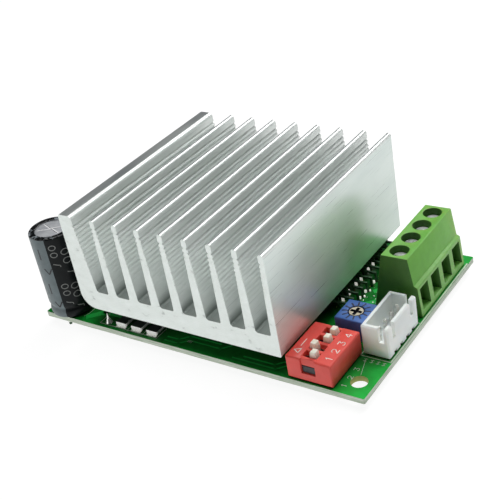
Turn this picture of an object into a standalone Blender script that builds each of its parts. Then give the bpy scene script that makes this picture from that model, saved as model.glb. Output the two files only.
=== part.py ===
"""Stepper driver module: a circuit board carrying a finned heat sink over a power driver chip,
a reservoir capacitor, a four-way slide switch, a plug header, a current trimmer and two screw
terminal blocks. Built in metres, +Z up. Piece positions are measured from the front left corner
of the board's top face; the board_corner empty carries that corner to its place, which puts the
origin under the middle of the whole module, on the surface that the trimmed leads stand on."""

import math

import bmesh
import bpy
from mathutils import Matrix, Vector

MM = 0.001

# ---- clearances -------------------------------------------------------------------------------
SEAT_GAP = 0.2 * MM  # under a part that stands on the board, and between stacked faces
FIT_GAP = 0.3 * MM  # around a part that moves or that sits inside another
PIN_GAP = 0.2 * MM  # around a lead in its hole

# ---- board ------------------------------------------------------------------------------------
BOARD_THICKNESS = 1.2 * MM
BOARD_CORNER_RADIUS = 0.3 * MM
LEFT_STRIP = 13.2 * MM  # bare board left of the heat sink
RIGHT_STRIP = 16.8 * MM  # bare board right of the heat sink
BACK_MARGIN = 3.3 * MM  # behind the output terminal
LEAD_STUB = 1.8 * MM  # how far trimmed leads stand below the board
MOUNT_HOLE_RADIUS = 1.7 * MM
MOUNT_HOLE_INSET_X = 3.15 * MM  # hole centre from the right edge
MOUNT_HOLE_INSET_Y = 4.1 * MM  # hole centre from the front edge

# ---- heat sink --------------------------------------------------------------------------------
SINK_WIDTH = 50.0 * MM
SINK_HEIGHT = 22.6 * MM
SINK_BASE = 4.65 * MM
SINK_CORNER_RADIUS = 3.4 * MM  # lower left corner of the extrusion
THICK_FIN_TOP = 3.55 * MM
THICK_FIN_ROOT = 5.1 * MM
THICK_FIN_ROUND = 0.5 * MM
FIN_PITCH = 5.75 * MM
FIN_TIP = 1.2 * MM
FIN_DRAFT_LEFT = 0.3 * MM
FIN_DRAFT_RIGHT = 0.8 * MM
FIN_ROOT_CHAMFER = 0.4 * MM
FIN_LEAST_CHANNEL = 2.0 * MM

# ---- driver chip, its pad and its screws ------------------------------------------------------
CHIP_LENGTH = 29.0 * MM
CHIP_WIDTH = 15.0 * MM
CHIP_INSET = 3.2 * MM  # chip's lead side from the sink's right face
CHIP_BACK_MARGIN = 0.5 * MM
PAD_THICKNESS = 0.5 * MM
PAD_MARGIN = 0.6 * MM
CHIP_SPACE = 4.7 * MM  # sink's underside above the board
CHIP_LEADS = 25
CHIP_LEAD_PITCH = 1.0 * MM
CHIP_LEAD_WIDTH = 0.5 * MM
CHIP_LEAD_THICKNESS = 0.4 * MM
CHIP_LEAD_HEIGHT = 2.0 * MM
CHIP_SHORT_LEAD = 1.4 * MM  # reach of the inner row from the chip
CHIP_LONG_LEAD = 4.5 * MM  # reach of the outer row
CHIP_COMB_DEPTH = 2.2 * MM  # how far the leads reach into the chip
CHIP_COMB_BAR = 1.1 * MM
SCREW_RADIUS = 1.45 * MM
SCREW_HEAD_RADIUS = 2.8 * MM
SCREW_HEAD_HEIGHT = 1.4 * MM
SCREW_HEAD_ROUND = 0.5 * MM
SCREW_TIP_CHAMFER = 0.3 * MM
SCREW_BITE = 3.6 * MM  # thread inside the sink base
SCREW_END_INSET = 2.7 * MM  # screw axis from the end of the chip
CROSS_LENGTH = 2.8 * MM
CROSS_WIDTH = 0.7 * MM
CROSS_DEPTH = 0.8 * MM

# ---- capacitor --------------------------------------------------------------------------------
SLEEVE_RADIUS = 5.0 * MM
SLEEVE_WALL = 0.2 * MM
CAN_WALL = 0.3 * MM
CAN_HEIGHT = 20.1 * MM
CAN_ROUND = 0.3 * MM
CAN_OVERHANG = 1.15 * MM  # how far the sleeve stands past the board's front edge
CAN_EDGE_INSET = 0.15 * MM  # sleeve from the board's left edge
CAN_LIP = 1.45 * MM  # sleeve folded over the can's top
SLEEVE_SHOULDER = 0.4 * MM
GROOVE_HEIGHT = 2.6 * MM
GROOVE_HALF = 0.55 * MM
GROOVE_DEPTH = 0.35 * MM
BUNG_HEIGHT = 2.4 * MM
CAN_LEAD_RADIUS = 0.35 * MM
CAN_LEAD_SPACING = 5.0 * MM

# ---- slide switch -----------------------------------------------------------------------------
SWITCH_WAYS = 4
SWITCH_PITCH = 2.54 * MM
SWITCH_END = 0.72 * MM  # cover beyond the outer ways' cells
SWITCH_WIDTH = 9.9 * MM
SWITCH_HEIGHT = 5.25 * MM
SWITCH_RIGHT_INSET = 6.5 * MM  # cover from the board's right edge
SWITCH_FRONT_INSET = 0.33 * MM
SWITCH_WALL = 0.6 * MM
SWITCH_TOP = 1.25 * MM
SWITCH_BEVEL = 0.25 * MM
SLOT_LENGTH = 3.3 * MM
SLOT_WIDTH = 1.85 * MM
SLOT_SHIFT = 0.15 * MM  # slots left of the cover's middle
SLIDER_TRAVEL = 1.4 * MM
KNOB_LENGTH = 1.5 * MM
KNOB_WIDTH = 1.35 * MM
KNOB_STANDS = 1.1 * MM
KNOB_TAPER = 0.2 * MM
SLIDER_FOOT = 0.8 * MM
SWITCH_PIN_SPACING = 7.62 * MM
SWITCH_PIN_WIDTH = 0.5 * MM
SWITCH_PIN_THICKNESS = 0.25 * MM
WINDOW_WIDTH = 3.1 * MM
WINDOW_BOTTOM = 1.95 * MM
WINDOW_TOP = 3.7 * MM
WINDOW_RECESS = 0.35 * MM
WINDOW_SHIFT = 0.1 * MM
SWITCH_TAB_ROOT = 0.15 * MM  # how deep an end tab grows into the base

# ---- plug header ------------------------------------------------------------------------------
HEADER_PINS = 4
HEADER_PITCH = 2.5 * MM
HEADER_END = 2.45 * MM  # housing beyond the outer pins
HEADER_WIDTH = 5.75 * MM
HEADER_HEIGHT = 6.95 * MM
HEADER_RIGHT_INSET = 0.5 * MM
HEADER_FRONT = 11.6 * MM  # from the board's front edge
HEADER_WALL = 0.85 * MM
HEADER_FLOOR = 1.5 * MM
HEADER_PIN = 0.64 * MM
HEADER_PIN_INSET = 3.1 * MM  # pins from the housing's outer face
HEADER_PIN_TOP = 5.4 * MM
HEADER_PIN_TIP = 0.3 * MM
HEADER_PIN_TAPER = 0.16 * MM
HEADER_BEVEL = 0.3 * MM
HEADER_SLOT = 1.2 * MM
HEADER_SLOT_INSET = 1.85 * MM  # side slots from the housing's ends
HEADER_SLOT_BOTTOM = 3.75 * MM
HEADER_NOTCH_WIDTH = 1.1 * MM
HEADER_NOTCH_HEIGHT = 1.05 * MM

# ---- screw terminals --------------------------------------------------------------------------
TERMINAL_GAP = 2.1 * MM  # between the header and the output terminal
TERMINAL_PITCH = 5.08 * MM
TERMINAL_END = 0.14 * MM
TERMINAL_EDGE_INSET = 0.65 * MM  # wire face from the board's edge
TERMINAL_HEIGHT = 13.3 * MM
TERMINAL_DEPTH = 10.45 * MM
TERMINAL_TOP_BACK = 2.55 * MM  # top face from the back of the foot
TERMINAL_TOP = 5.7 * MM
TERMINAL_LEDGE_HEIGHT = 6.95 * MM
TERMINAL_LEDGE_RISE = 0.35 * MM
TERMINAL_LEDGE = 0.7 * MM
TERMINAL_NOSE_DRAFT = 0.6 * MM
CELL_WALL = 0.98 * MM
CELL_BACK = 2.4 * MM  # chamber from the back of the foot
CELL_FRONT = 7.7 * MM
CELL_TOP = 9.3 * MM
WIRE_WALL = 1.58 * MM  # between two wire windows
WIRE_BOTTOM = 1.2 * MM
WIRE_TOP = 6.2 * MM
WELL_SEAT = 10.3 * MM
WELL_CENTRE = 5.35 * MM  # screw axis from the back of the foot
CLAMP_SHOULDER = 0.6 * MM  # screw head beyond its thread
CLAMP_HEAD_HEIGHT = 1.4 * MM
CLAMP_HEAD_ROUND = 0.2 * MM
CLAMP_SLOT_WIDTH = 0.55 * MM
CLAMP_SLOT_DEPTH = 0.6 * MM
CAGE_WALL = 0.5 * MM
CAGE_PLATE = 0.6 * MM
BLADE_THICKNESS = 0.5 * MM
BLADE_HEIGHT = 4.4 * MM  # underside of the blade above the board
OUTPUT_WAYS = 4
POWER_WAYS = 2
POWER_MIDDLE = 30.0 * MM  # from the board's front edge

# ---- trimmer ----------------------------------------------------------------------------------
TRIMMER_SIDE = 6.5 * MM
TRIMMER_HEIGHT = 5.0 * MM
TRIMMER_BEVEL = 0.15 * MM
TRIMMER_SWITCH_GAP = 2.7 * MM
TRIMMER_HEADER_GAP = 1.05 * MM
ROTOR_RADIUS = 1.45 * MM
ROTOR_HEIGHT = 1.1 * MM
ROTOR_SUNK = 0.1 * MM
ROTOR_STEM_RADIUS = 0.8 * MM
ROTOR_STEM = 1.4 * MM
ROTOR_SLOT_LENGTH = 2.5 * MM
ROTOR_SLOT_WIDTH = 0.7 * MM
ROTOR_SLOT_DEPTH = 0.7 * MM
TRIMMER_PIN = 0.5 * MM
TRIMMER_SOCKET = 1.2 * MM  # how far a pin enters the body
TRIMMER_PIN_SPREAD = 2.54 * MM

# ---- current-sense resistors ------------------------------------------------------------------
RESISTORS = 3
RESISTOR_LENGTH = 5.2 * MM
RESISTOR_WIDTH = 2.6 * MM
RESISTOR_HEIGHT = 1.0 * MM
RESISTOR_PITCH = 4.2 * MM
RESISTOR_FIRST = 7.65 * MM  # first centre from the sink's left face
RESISTOR_FRONT = 1.5 * MM

# ---- what follows from those ------------------------------------------------------------------
SWITCH_LENGTH = SWITCH_WAYS * SWITCH_PITCH + 2 * SWITCH_END
HEADER_LENGTH = (HEADER_PINS - 1) * HEADER_PITCH + 2 * HEADER_END
OUTPUT_LENGTH = OUTPUT_WAYS * TERMINAL_PITCH + 2 * TERMINAL_END
OUTPUT_FRONT = HEADER_FRONT + HEADER_LENGTH + TERMINAL_GAP
BOARD_LENGTH = LEFT_STRIP + SINK_WIDTH + RIGHT_STRIP
BOARD_DEPTH = OUTPUT_FRONT + OUTPUT_LENGTH + BACK_MARGIN
LEAD_END = -BOARD_THICKNESS - LEAD_STUB
SINK_RIGHT = LEFT_STRIP + SINK_WIDTH
SINK_BOTTOM = CHIP_SPACE
CELL_HALF = (TERMINAL_PITCH - CELL_WALL) / 2
WIRE_HALF = (TERMINAL_PITCH - WIRE_WALL) / 2
CAGE_HALF = CELL_HALF - FIT_GAP
BLADE_HALF = CAGE_HALF - CAGE_WALL - FIT_GAP
CLAMP_SCREW_RADIUS = CAGE_HALF - CAGE_WALL - PIN_GAP
CLAMP_HEAD_RADIUS = CLAMP_SCREW_RADIUS + CLAMP_SHOULDER
WELL_RADIUS = CLAMP_HEAD_RADIUS + FIT_GAP

for old in list(bpy.data.objects):
    bpy.data.objects.remove(old, do_unlink=True)

board_corner = bpy.data.objects.new("board_corner", None)
bpy.context.scene.collection.objects.link(board_corner)
board_corner.location = (
    -BOARD_LENGTH / 2,
    -(BOARD_DEPTH - CAN_OVERHANG) / 2,
    -LEAD_END,
)

drillings = []


def drill(x, y, radius, sides=4):
    """Notes one hole through the board; a four-sided hole is as wide as its diameter."""
    drillings.append((x, y, radius, sides))


# ---- shapes -----------------------------------------------------------------------------------
def polygon(radius, sides):
    """A regular outline; with four sides, a square whose half side is the radius."""
    if sides == 4:
        return [(-radius, -radius), (radius, -radius), (radius, radius), (-radius, radius)]
    angles = [2 * math.pi * index / sides for index in range(sides)]
    return [(radius * math.cos(angle), radius * math.sin(angle)) for angle in angles]


def arc(centre, radius, start, end, steps):
    """Points on a circle's arc, between two angles in degrees, both ends included."""
    angles = [math.radians(start + (end - start) * index / steps) for index in range(steps + 1)]
    return [(centre[0] + radius * math.cos(a), centre[1] + radius * math.sin(a)) for a in angles]


def extrude_outline(bm, outline, axis, low, high):
    """Adds a prism: the outline lies in the other two axes, in X, Y, Z order."""
    first, second = [index for index in range(3) if index != axis]
    corners = []
    for a, b in outline:
        corner = Vector((0, 0, 0))
        corner[first] = a
        corner[second] = b
        corner[axis] = low
        corners.append(bm.verts.new(corner))
    face = bm.faces.new(corners)
    grown = bmesh.ops.extrude_face_region(bm, geom=[face])["geom"]
    shift = Vector((0, 0, 0))
    shift[axis] = high - low
    moved = [item for item in grown if isinstance(item, bmesh.types.BMVert)]
    bmesh.ops.translate(bm, verts=moved, vec=shift)


def add_box(bm, low, high):
    outline = [(low[0], low[1]), (high[0], low[1]), (high[0], high[1]), (low[0], high[1])]
    extrude_outline(bm, outline, 2, low[2], high[2])


def add_rod(bm, x, y, low, high, radius, sides):
    outline = [(x + a, y + b) for a, b in polygon(radius, sides)]
    extrude_outline(bm, outline, 2, low, high)


def add_turned(bm, profile, sides):
    """Spins a closed (radius, height) profile about Z. Points at radius 0 are merged."""
    ring = [bm.verts.new((radius, 0, height)) for radius, height in profile]
    edges = [bm.edges.new((ring[i], ring[(i + 1) % len(ring)])) for i in range(len(ring))]
    on_axis = [edge for edge in edges if all(vert.co.x == 0 for vert in edge.verts)]
    spun = [edge for edge in edges if edge not in on_axis]
    bmesh.ops.delete(bm, geom=on_axis, context="EDGES_FACES")
    turned = {vert for edge in spun for vert in edge.verts}
    bmesh.ops.spin(
        bm,
        geom=list(turned) + spun,
        axis=(0, 0, 1),
        cent=(0, 0, 0),
        angle=2 * math.pi,
        steps=sides,
        use_merge=True,
    )
    bmesh.ops.remove_doubles(bm, verts=bm.verts, dist=1e-6)


def plus_outline(length, width):
    a, b = length / 2, width / 2
    return [
        (-a, -b), (-b, -b), (-b, -a), (b, -a), (b, -b), (a, -b),
        (a, b), (b, b), (b, a), (-b, a), (-b, b), (-a, b),
    ]


# ---- objects ----------------------------------------------------------------------------------
def material(name, colour, roughness, metallic=0.0):
    made = bpy.data.materials.new(name)
    made.use_nodes = True
    shader = made.node_tree.nodes["Principled BSDF"]
    shader.inputs["Base Color"].default_value = (*colour, 1.0)
    shader.inputs["Roughness"].default_value = roughness
    shader.inputs["Metallic"].default_value = metallic
    return made


def place(name, bm, finish, at=(0, 0, 0), turn=0.0, smooth=False):
    """Turns a finished bmesh into a named object, its origin at the given board position."""
    bmesh.ops.recalc_face_normals(bm, faces=bm.faces)
    mesh = bpy.data.meshes.new(name)
    bm.to_mesh(mesh)
    bm.free()
    if smooth:
        mesh.shade_smooth()
        mesh.set_sharp_from_angle(angle=math.radians(35))
    thing = bpy.data.objects.new(name, mesh)
    bpy.context.scene.collection.objects.link(thing)
    thing.parent = board_corner
    thing.location = at
    thing.rotation_euler.z = turn
    if finish is not None:
        mesh.materials.append(finish)
    return thing


def cut(target, bm, name, at=None):
    """Subtracts a bmesh, which is drawn in the target's own position unless one is given."""
    where = target.location if at is None else at
    cutter = place(name, bm, None, where, target.rotation_euler.z)
    cutter.hide_render = True
    cutter.display_type = "WIRE"
    boolean = target.modifiers.new(name, "BOOLEAN")
    boolean.operation = "DIFFERENCE"
    boolean.object = cutter


def join(target, bm, name):
    """Unites a bmesh with the target."""
    added = place(name, bm, None, target.location, target.rotation_euler.z)
    added.hide_render = True
    added.display_type = "WIRE"
    boolean = target.modifiers.new(name, "BOOLEAN")
    boolean.operation = "UNION"
    boolean.object = added


def soften(target, width):
    bevel = target.modifiers.new("soften", "BEVEL")
    bevel.width = width
    bevel.segments = 1
    bevel.limit_method = "ANGLE"
    bevel.angle_limit = math.radians(40)


# ---- materials --------------------------------------------------------------------------------
BOARD_GREEN = material("board_green", (0.02, 0.22, 0.05), 0.35)
ALUMINIUM = material("aluminium", (0.80, 0.81, 0.82), 0.35, 1.0)
CHIP_BLACK = material("chip_black", (0.02, 0.02, 0.022), 0.6)
TINNED = material("tinned_metal", (0.75, 0.75, 0.74), 0.3, 1.0)
PAD_GREY = material("pad_grey", (0.35, 0.36, 0.38), 0.9)
STEEL = material("plated_steel", (0.65, 0.66, 0.68), 0.3, 1.0)
SLEEVE_BLACK = material("sleeve_black", (0.02, 0.021, 0.024), 0.35)
FOIL = material("wound_foil", (0.6, 0.55, 0.42), 0.6)
RUBBER = material("bung_rubber", (0.03, 0.03, 0.03), 0.8)
SWITCH_RED = material("switch_red", (0.80, 0.09, 0.07), 0.4)
SWITCH_DARK = material("switch_dark", (0.04, 0.045, 0.05), 0.5)
IVORY = material("slider_ivory", (0.85, 0.80, 0.65), 0.45)
HEADER_WHITE = material("header_white", (0.82, 0.83, 0.79), 0.45)
TERMINAL_GREEN = material("terminal_green", (0.20, 0.42, 0.07), 0.45)
TRIMMER_BLUE = material("trimmer_blue", (0.08, 0.17, 0.55), 0.45)
ROTOR_CREAM = material("rotor_cream", (0.78, 0.74, 0.60), 0.5)
RESISTOR_BLACK = material("resistor_black", (0.03, 0.03, 0.03), 0.5)


# ---- heat sink --------------------------------------------------------------------------------
def sink_outline():
    """The extrusion's end view, with its lower left corner at (0, 0), going round from there."""
    radius = SINK_CORNER_RADIUS
    outline = arc((radius, radius), radius, 180, 270, 6)
    outline += [(SINK_WIDTH, 0)]
    tip = FIN_TIP / 2
    centre = SINK_WIDTH - tip
    outer = True
    while centre - tip - FIN_DRAFT_LEFT - THICK_FIN_ROOT >= FIN_LEAST_CHANNEL:
        if not outer:
            outline += [
                (centre + tip + FIN_DRAFT_RIGHT + FIN_ROOT_CHAMFER, SINK_BASE),
                (centre + tip + FIN_DRAFT_RIGHT, SINK_BASE + FIN_ROOT_CHAMFER),
            ]
        outline += arc((centre, SINK_HEIGHT - tip), tip, 0, 180, 4)
        outline += [(centre - tip - FIN_DRAFT_LEFT, SINK_BASE)]
        centre -= FIN_PITCH
        outer = False
    top = SINK_HEIGHT
    soft = THICK_FIN_ROUND
    outline += [(THICK_FIN_ROOT + FIN_ROOT_CHAMFER, SINK_BASE)]
    outline += [(THICK_FIN_ROOT, SINK_BASE + FIN_ROOT_CHAMFER)]
    outline += arc((THICK_FIN_TOP - soft, top - soft), soft, 0, 90, 3)
    outline += arc((soft, top - soft), soft, 90, 180, 3)
    return outline


bm = bmesh.new()
extrude_outline(bm, sink_outline(), 1, 0, BOARD_DEPTH)
heat_sink = place("heat_sink", bm, ALUMINIUM, (LEFT_STRIP, 0, SINK_BOTTOM))

# ---- driver chip, pad and screws --------------------------------------------------------------
chip_right = SINK_RIGHT - CHIP_INSET
chip_left = chip_right - CHIP_WIDTH
chip_back = BOARD_DEPTH - CHIP_BACK_MARGIN
chip_front = chip_back - CHIP_LENGTH
chip_middle = (chip_front + chip_back) / 2
pad_top = CHIP_SPACE - SEAT_GAP
chip_top = pad_top - PAD_THICKNESS - SEAT_GAP
screw_x = (chip_left + chip_right) / 2
screw_ends = (chip_front + SCREW_END_INSET, chip_back - SCREW_END_INSET)
lead_low = CHIP_LEAD_HEIGHT - CHIP_LEAD_THICKNESS / 2
lead_high = CHIP_LEAD_HEIGHT + CHIP_LEAD_THICKNESS / 2
comb_left = chip_right - CHIP_COMB_DEPTH
comb_right = comb_left + CHIP_COMB_BAR
comb_half = (CHIP_LEADS - 1) * CHIP_LEAD_PITCH / 2 + CHIP_LEAD_WIDTH / 2

bm = bmesh.new()
add_box(bm, (chip_left, chip_front, SEAT_GAP), (chip_right, chip_back, chip_top))
driver_chip = place("driver_chip", bm, CHIP_BLACK)
bm = bmesh.new()
notch = SCREW_RADIUS + FIT_GAP
front_notch = (chip_front - MM, screw_ends[0] + notch)
back_notch = (screw_ends[1] - notch, chip_back + MM)
for low_y, high_y in (front_notch, back_notch):
    add_box(bm, (screw_x - notch, low_y, -MM), (screw_x + notch, high_y, chip_top + MM))
cut(driver_chip, bm, "chip_screw_notches")
bm = bmesh.new()
add_box(
    bm,
    (comb_left - FIT_GAP, chip_middle - comb_half - FIT_GAP, lead_low - FIT_GAP),
    (chip_right + MM, chip_middle + comb_half + FIT_GAP, lead_high + FIT_GAP),
)
cut(driver_chip, bm, "chip_lead_slot")

bm = bmesh.new()
add_box(
    bm,
    (comb_left, chip_middle - comb_half, lead_low),
    (comb_right, chip_middle + comb_half, lead_high),
)
driver_chip_leads = place("driver_chip_leads", bm, TINNED)
bm = bmesh.new()
for index in range(CHIP_LEADS):
    reach = CHIP_LONG_LEAD if index % 2 == 0 else CHIP_SHORT_LEAD
    outer_x = chip_right + reach + CHIP_LEAD_THICKNESS / 2
    inner_x = outer_x - CHIP_LEAD_THICKNESS
    root_x = (comb_left + comb_right) / 2
    bend = [
        (root_x, lead_low), (inner_x, lead_low), (inner_x, LEAD_END),
        (outer_x, LEAD_END), (outer_x, lead_high), (root_x, lead_high),
    ]
    y = chip_middle + (index - (CHIP_LEADS - 1) / 2) * CHIP_LEAD_PITCH
    extrude_outline(bm, bend, 1, y - CHIP_LEAD_WIDTH / 2, y + CHIP_LEAD_WIDTH / 2)
    drill(chip_right + reach, y, CHIP_LEAD_WIDTH / 2 + PIN_GAP)
join(driver_chip_leads, bm, "chip_lead_bends")

bm = bmesh.new()
pad_front = screw_ends[0] + SCREW_RADIUS + 2 * FIT_GAP
pad_back = screw_ends[1] - SCREW_RADIUS - 2 * FIT_GAP
add_box(
    bm,
    (chip_left + PAD_MARGIN, pad_front, pad_top - PAD_THICKNESS),
    (chip_right - PAD_MARGIN, pad_back, pad_top),
)
place("thermal_pad", bm, PAD_GREY)

head_top = -BOARD_THICKNESS - SEAT_GAP
screw_tip = SINK_BOTTOM + SCREW_BITE
for number, screw_y in enumerate(screw_ends, 1):
    bm = bmesh.new()
    add_turned(
        bm,
        [
            (0, screw_tip),
            (SCREW_RADIUS - SCREW_TIP_CHAMFER, screw_tip),
            (SCREW_RADIUS, screw_tip - SCREW_TIP_CHAMFER),
            (SCREW_RADIUS, head_top),
            (SCREW_HEAD_RADIUS, head_top),
            (SCREW_HEAD_RADIUS, head_top - SCREW_HEAD_HEIGHT / 2),
            (SCREW_HEAD_RADIUS - SCREW_HEAD_ROUND, head_top - SCREW_HEAD_HEIGHT),
            (0, head_top - SCREW_HEAD_HEIGHT),
        ],
        20,
    )
    sink_screw = place(f"sink_screw_{number}", bm, STEEL, (screw_x, screw_y, 0), smooth=True)
    bm = bmesh.new()
    head_face = head_top - SCREW_HEAD_HEIGHT
    cross = plus_outline(CROSS_LENGTH, CROSS_WIDTH)
    extrude_outline(bm, cross, 2, head_face - MM, head_face + CROSS_DEPTH)
    cut(sink_screw, bm, f"sink_screw_{number}_cross")
    drill(screw_x, screw_y, SCREW_RADIUS + FIT_GAP, 16)

bm = bmesh.new()
for screw_y in screw_ends:
    screw_hole_end = SINK_BOTTOM + SCREW_BITE + FIT_GAP
    add_rod(bm, screw_x, screw_y, SINK_BOTTOM - MM, screw_hole_end, SCREW_RADIUS + FIT_GAP, 16)
cut(heat_sink, bm, "sink_screw_holes", (0, 0, 0))

# ---- capacitor --------------------------------------------------------------------------------
can_x = CAN_EDGE_INSET + SLEEVE_RADIUS
can_y = SLEEVE_RADIUS - CAN_OVERHANG
can_radius = SLEEVE_RADIUS - SLEEVE_WALL - PIN_GAP
can_inner = can_radius - CAN_WALL
can_bottom = 2 * SEAT_GAP
can_place = (can_x, can_y, 0)
sleeve_top = CAN_HEIGHT + PIN_GAP + SLEEVE_WALL


def grooved(radius, low, high):
    """A can wall, bottom to top, with the crimped groove pressed into it."""
    return [
        (radius, low),
        (radius, GROOVE_HEIGHT - GROOVE_HALF),
        (radius - GROOVE_DEPTH, GROOVE_HEIGHT),
        (radius, GROOVE_HEIGHT + GROOVE_HALF),
        (radius, high),
    ]


bm = bmesh.new()
outside = grooved(can_radius, can_bottom, CAN_HEIGHT - CAN_ROUND)
inside = grooved(can_inner, can_bottom, CAN_HEIGHT - CAN_WALL)
lid = [(can_radius - CAN_ROUND, CAN_HEIGHT), (0, CAN_HEIGHT), (0, CAN_HEIGHT - CAN_WALL)]
add_turned(bm, outside + lid + inside[::-1], 32)
place("capacitor_can", bm, ALUMINIUM, can_place, smooth=True)

bm = bmesh.new()
shoulder = (SLEEVE_RADIUS - SLEEVE_SHOULDER, sleeve_top - SLEEVE_SHOULDER)
outside = grooved(SLEEVE_RADIUS, can_bottom, shoulder[1])
inside = grooved(SLEEVE_RADIUS - SLEEVE_WALL, can_bottom, CAN_HEIGHT + PIN_GAP)
lip = arc(shoulder, SLEEVE_SHOULDER, 30, 90, 2) + [
    (SLEEVE_RADIUS - CAN_LIP, sleeve_top),
    (SLEEVE_RADIUS - CAN_LIP, CAN_HEIGHT + PIN_GAP),
]
add_turned(bm, outside + lip + inside[::-1], 32)
place("capacitor_sleeve", bm, SLEEVE_BLACK, can_place, smooth=True)

lead_offsets = (-CAN_LEAD_SPACING / 2, CAN_LEAD_SPACING / 2)
bung_radius = can_inner - GROOVE_DEPTH - FIT_GAP
bung_bottom = can_bottom + SEAT_GAP
bm = bmesh.new()
add_rod(bm, 0, 0, bung_bottom, bung_bottom + BUNG_HEIGHT, bung_radius, 24)
bung = place("capacitor_bung", bm, RUBBER, can_place, smooth=True)
bm = bmesh.new()
for offset in lead_offsets:
    add_rod(bm, 0, offset, 0, bung_bottom + BUNG_HEIGHT + MM, CAN_LEAD_RADIUS + PIN_GAP, 8)
cut(bung, bm, "bung_lead_holes")

roll_bottom = bung_bottom + BUNG_HEIGHT + 2 * FIT_GAP
bm = bmesh.new()
add_rod(bm, 0, 0, roll_bottom, CAN_HEIGHT - CAN_WALL - FIT_GAP, bung_radius, 24)
place("capacitor_roll", bm, FOIL, can_place, smooth=True)

for sign, offset in zip(("minus", "plus"), lead_offsets):
    bm = bmesh.new()
    add_rod(bm, 0, 0, LEAD_END, roll_bottom - FIT_GAP, CAN_LEAD_RADIUS, 8)
    at = (can_x, can_y + offset, 0)
    place(f"capacitor_lead_{sign}", bm, TINNED, at, smooth=True)
    drill(can_x, can_y + offset, CAN_LEAD_RADIUS + PIN_GAP, 8)

# ---- slide switch -----------------------------------------------------------------------------
switch_right = BOARD_LENGTH - SWITCH_RIGHT_INSET
switch_left = switch_right - SWITCH_WIDTH
switch_front = SWITCH_FRONT_INSET
switch_back = switch_front + SWITCH_LENGTH
switch_x = (switch_left + switch_right) / 2
slot_x = switch_x - SLOT_SHIFT
inner_left = switch_left + SWITCH_WALL
inner_right = switch_right - SWITCH_WALL
inner_front = switch_front + SWITCH_WALL
inner_back = switch_back - SWITCH_WALL
plate_under = SWITCH_HEIGHT - SWITCH_TOP
foot_high = plate_under - FIT_GAP
foot_low = foot_high - SLIDER_FOOT
base_top = foot_low - FIT_GAP
pin_xs = (switch_x - SWITCH_PIN_SPACING / 2, switch_x + SWITCH_PIN_SPACING / 2)
way_ys = [
    (switch_front + switch_back) / 2 + (index - (SWITCH_WAYS - 1) / 2) * SWITCH_PITCH
    for index in range(SWITCH_WAYS)
]
half_window = WINDOW_WIDTH / 2
window_x = switch_x - WINDOW_SHIFT

bm = bmesh.new()
add_box(
    bm,
    (switch_left, switch_front, SEAT_GAP),
    (switch_right, switch_back, SWITCH_HEIGHT),
)
switch_cover = place("switch_cover", bm, SWITCH_RED)
soften(switch_cover, SWITCH_BEVEL)
bm = bmesh.new()
add_box(bm, (inner_left, inner_front, -MM), (inner_right, inner_back, plate_under))
cut(switch_cover, bm, "switch_cavity")
bm = bmesh.new()
for end_y in (switch_front, switch_back):
    low = (window_x - half_window, end_y - WINDOW_RECESS, WINDOW_TOP)
    high = (window_x + half_window, end_y + WINDOW_RECESS, SWITCH_HEIGHT + MM)
    add_box(bm, low, high)
cut(switch_cover, bm, "switch_end_recesses")
bm = bmesh.new()
for end_y in (switch_front, switch_back):
    low = (window_x - half_window, end_y - 2 * SWITCH_WALL, WINDOW_BOTTOM)
    high = (window_x + half_window, end_y + 2 * SWITCH_WALL, WINDOW_TOP)
    add_box(bm, low, high)
cut(switch_cover, bm, "switch_end_windows")
bm = bmesh.new()
for way_y in way_ys:
    low = (slot_x - SLOT_LENGTH / 2, way_y - SLOT_WIDTH / 2, plate_under - MM)
    high = (slot_x + SLOT_LENGTH / 2, way_y + SLOT_WIDTH / 2, SWITCH_HEIGHT + MM)
    add_box(bm, low, high)
cut(switch_cover, bm, "switch_slots")

base_left = pin_xs[0] + SWITCH_PIN_THICKNESS / 2 + FIT_GAP
base_right = pin_xs[1] - SWITCH_PIN_THICKNESS / 2 - FIT_GAP
base_front = inner_front + SEAT_GAP
base_back = inner_back - SEAT_GAP
bm = bmesh.new()
add_box(bm, (base_left, base_front, SEAT_GAP), (base_right, base_back, base_top))
switch_base = place("switch_base", bm, SWITCH_DARK)
bm = bmesh.new()
tab_half = half_window - PIN_GAP
add_box(
    bm,
    (window_x - tab_half, switch_front + WINDOW_RECESS, WINDOW_BOTTOM + PIN_GAP),
    (window_x + tab_half, base_front + SWITCH_TAB_ROOT, WINDOW_TOP - PIN_GAP),
)
add_box(
    bm,
    (window_x - tab_half, base_back - SWITCH_TAB_ROOT, WINDOW_BOTTOM + PIN_GAP),
    (window_x + tab_half, switch_back - WINDOW_RECESS, WINDOW_TOP - PIN_GAP),
)
join(switch_base, bm, "switch_base_tabs")

slider_ends = (SLIDER_TRAVEL / 2, -SLIDER_TRAVEL / 2, SLIDER_TRAVEL / 2, SLIDER_TRAVEL / 2)
foot_half = SWITCH_PITCH / 2 - FIT_GAP - SWITCH_TAB_ROOT
foot_reach = SLOT_LENGTH / 2
for number, (way_y, shift) in enumerate(zip(way_ys, slider_ends), 1):
    bm = bmesh.new()
    add_box(bm, (-foot_reach, -foot_half, foot_low), (foot_reach, foot_half, foot_high))
    slider = place(f"switch_slider_{number}", bm, IVORY, (slot_x + shift, way_y, 0))
    half = KNOB_LENGTH / 2
    root = foot_low + SLIDER_FOOT / 2
    crown = SWITCH_HEIGHT + KNOB_STANDS
    knob = [
        (-half, root), (half, root), (half, SWITCH_HEIGHT),
        (half - KNOB_TAPER, crown), (-half + KNOB_TAPER, crown), (-half, SWITCH_HEIGHT),
    ]
    bm = bmesh.new()
    extrude_outline(bm, knob, 1, -KNOB_WIDTH / 2, KNOB_WIDTH / 2)
    join(slider, bm, f"switch_knob_{number}")

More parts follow.
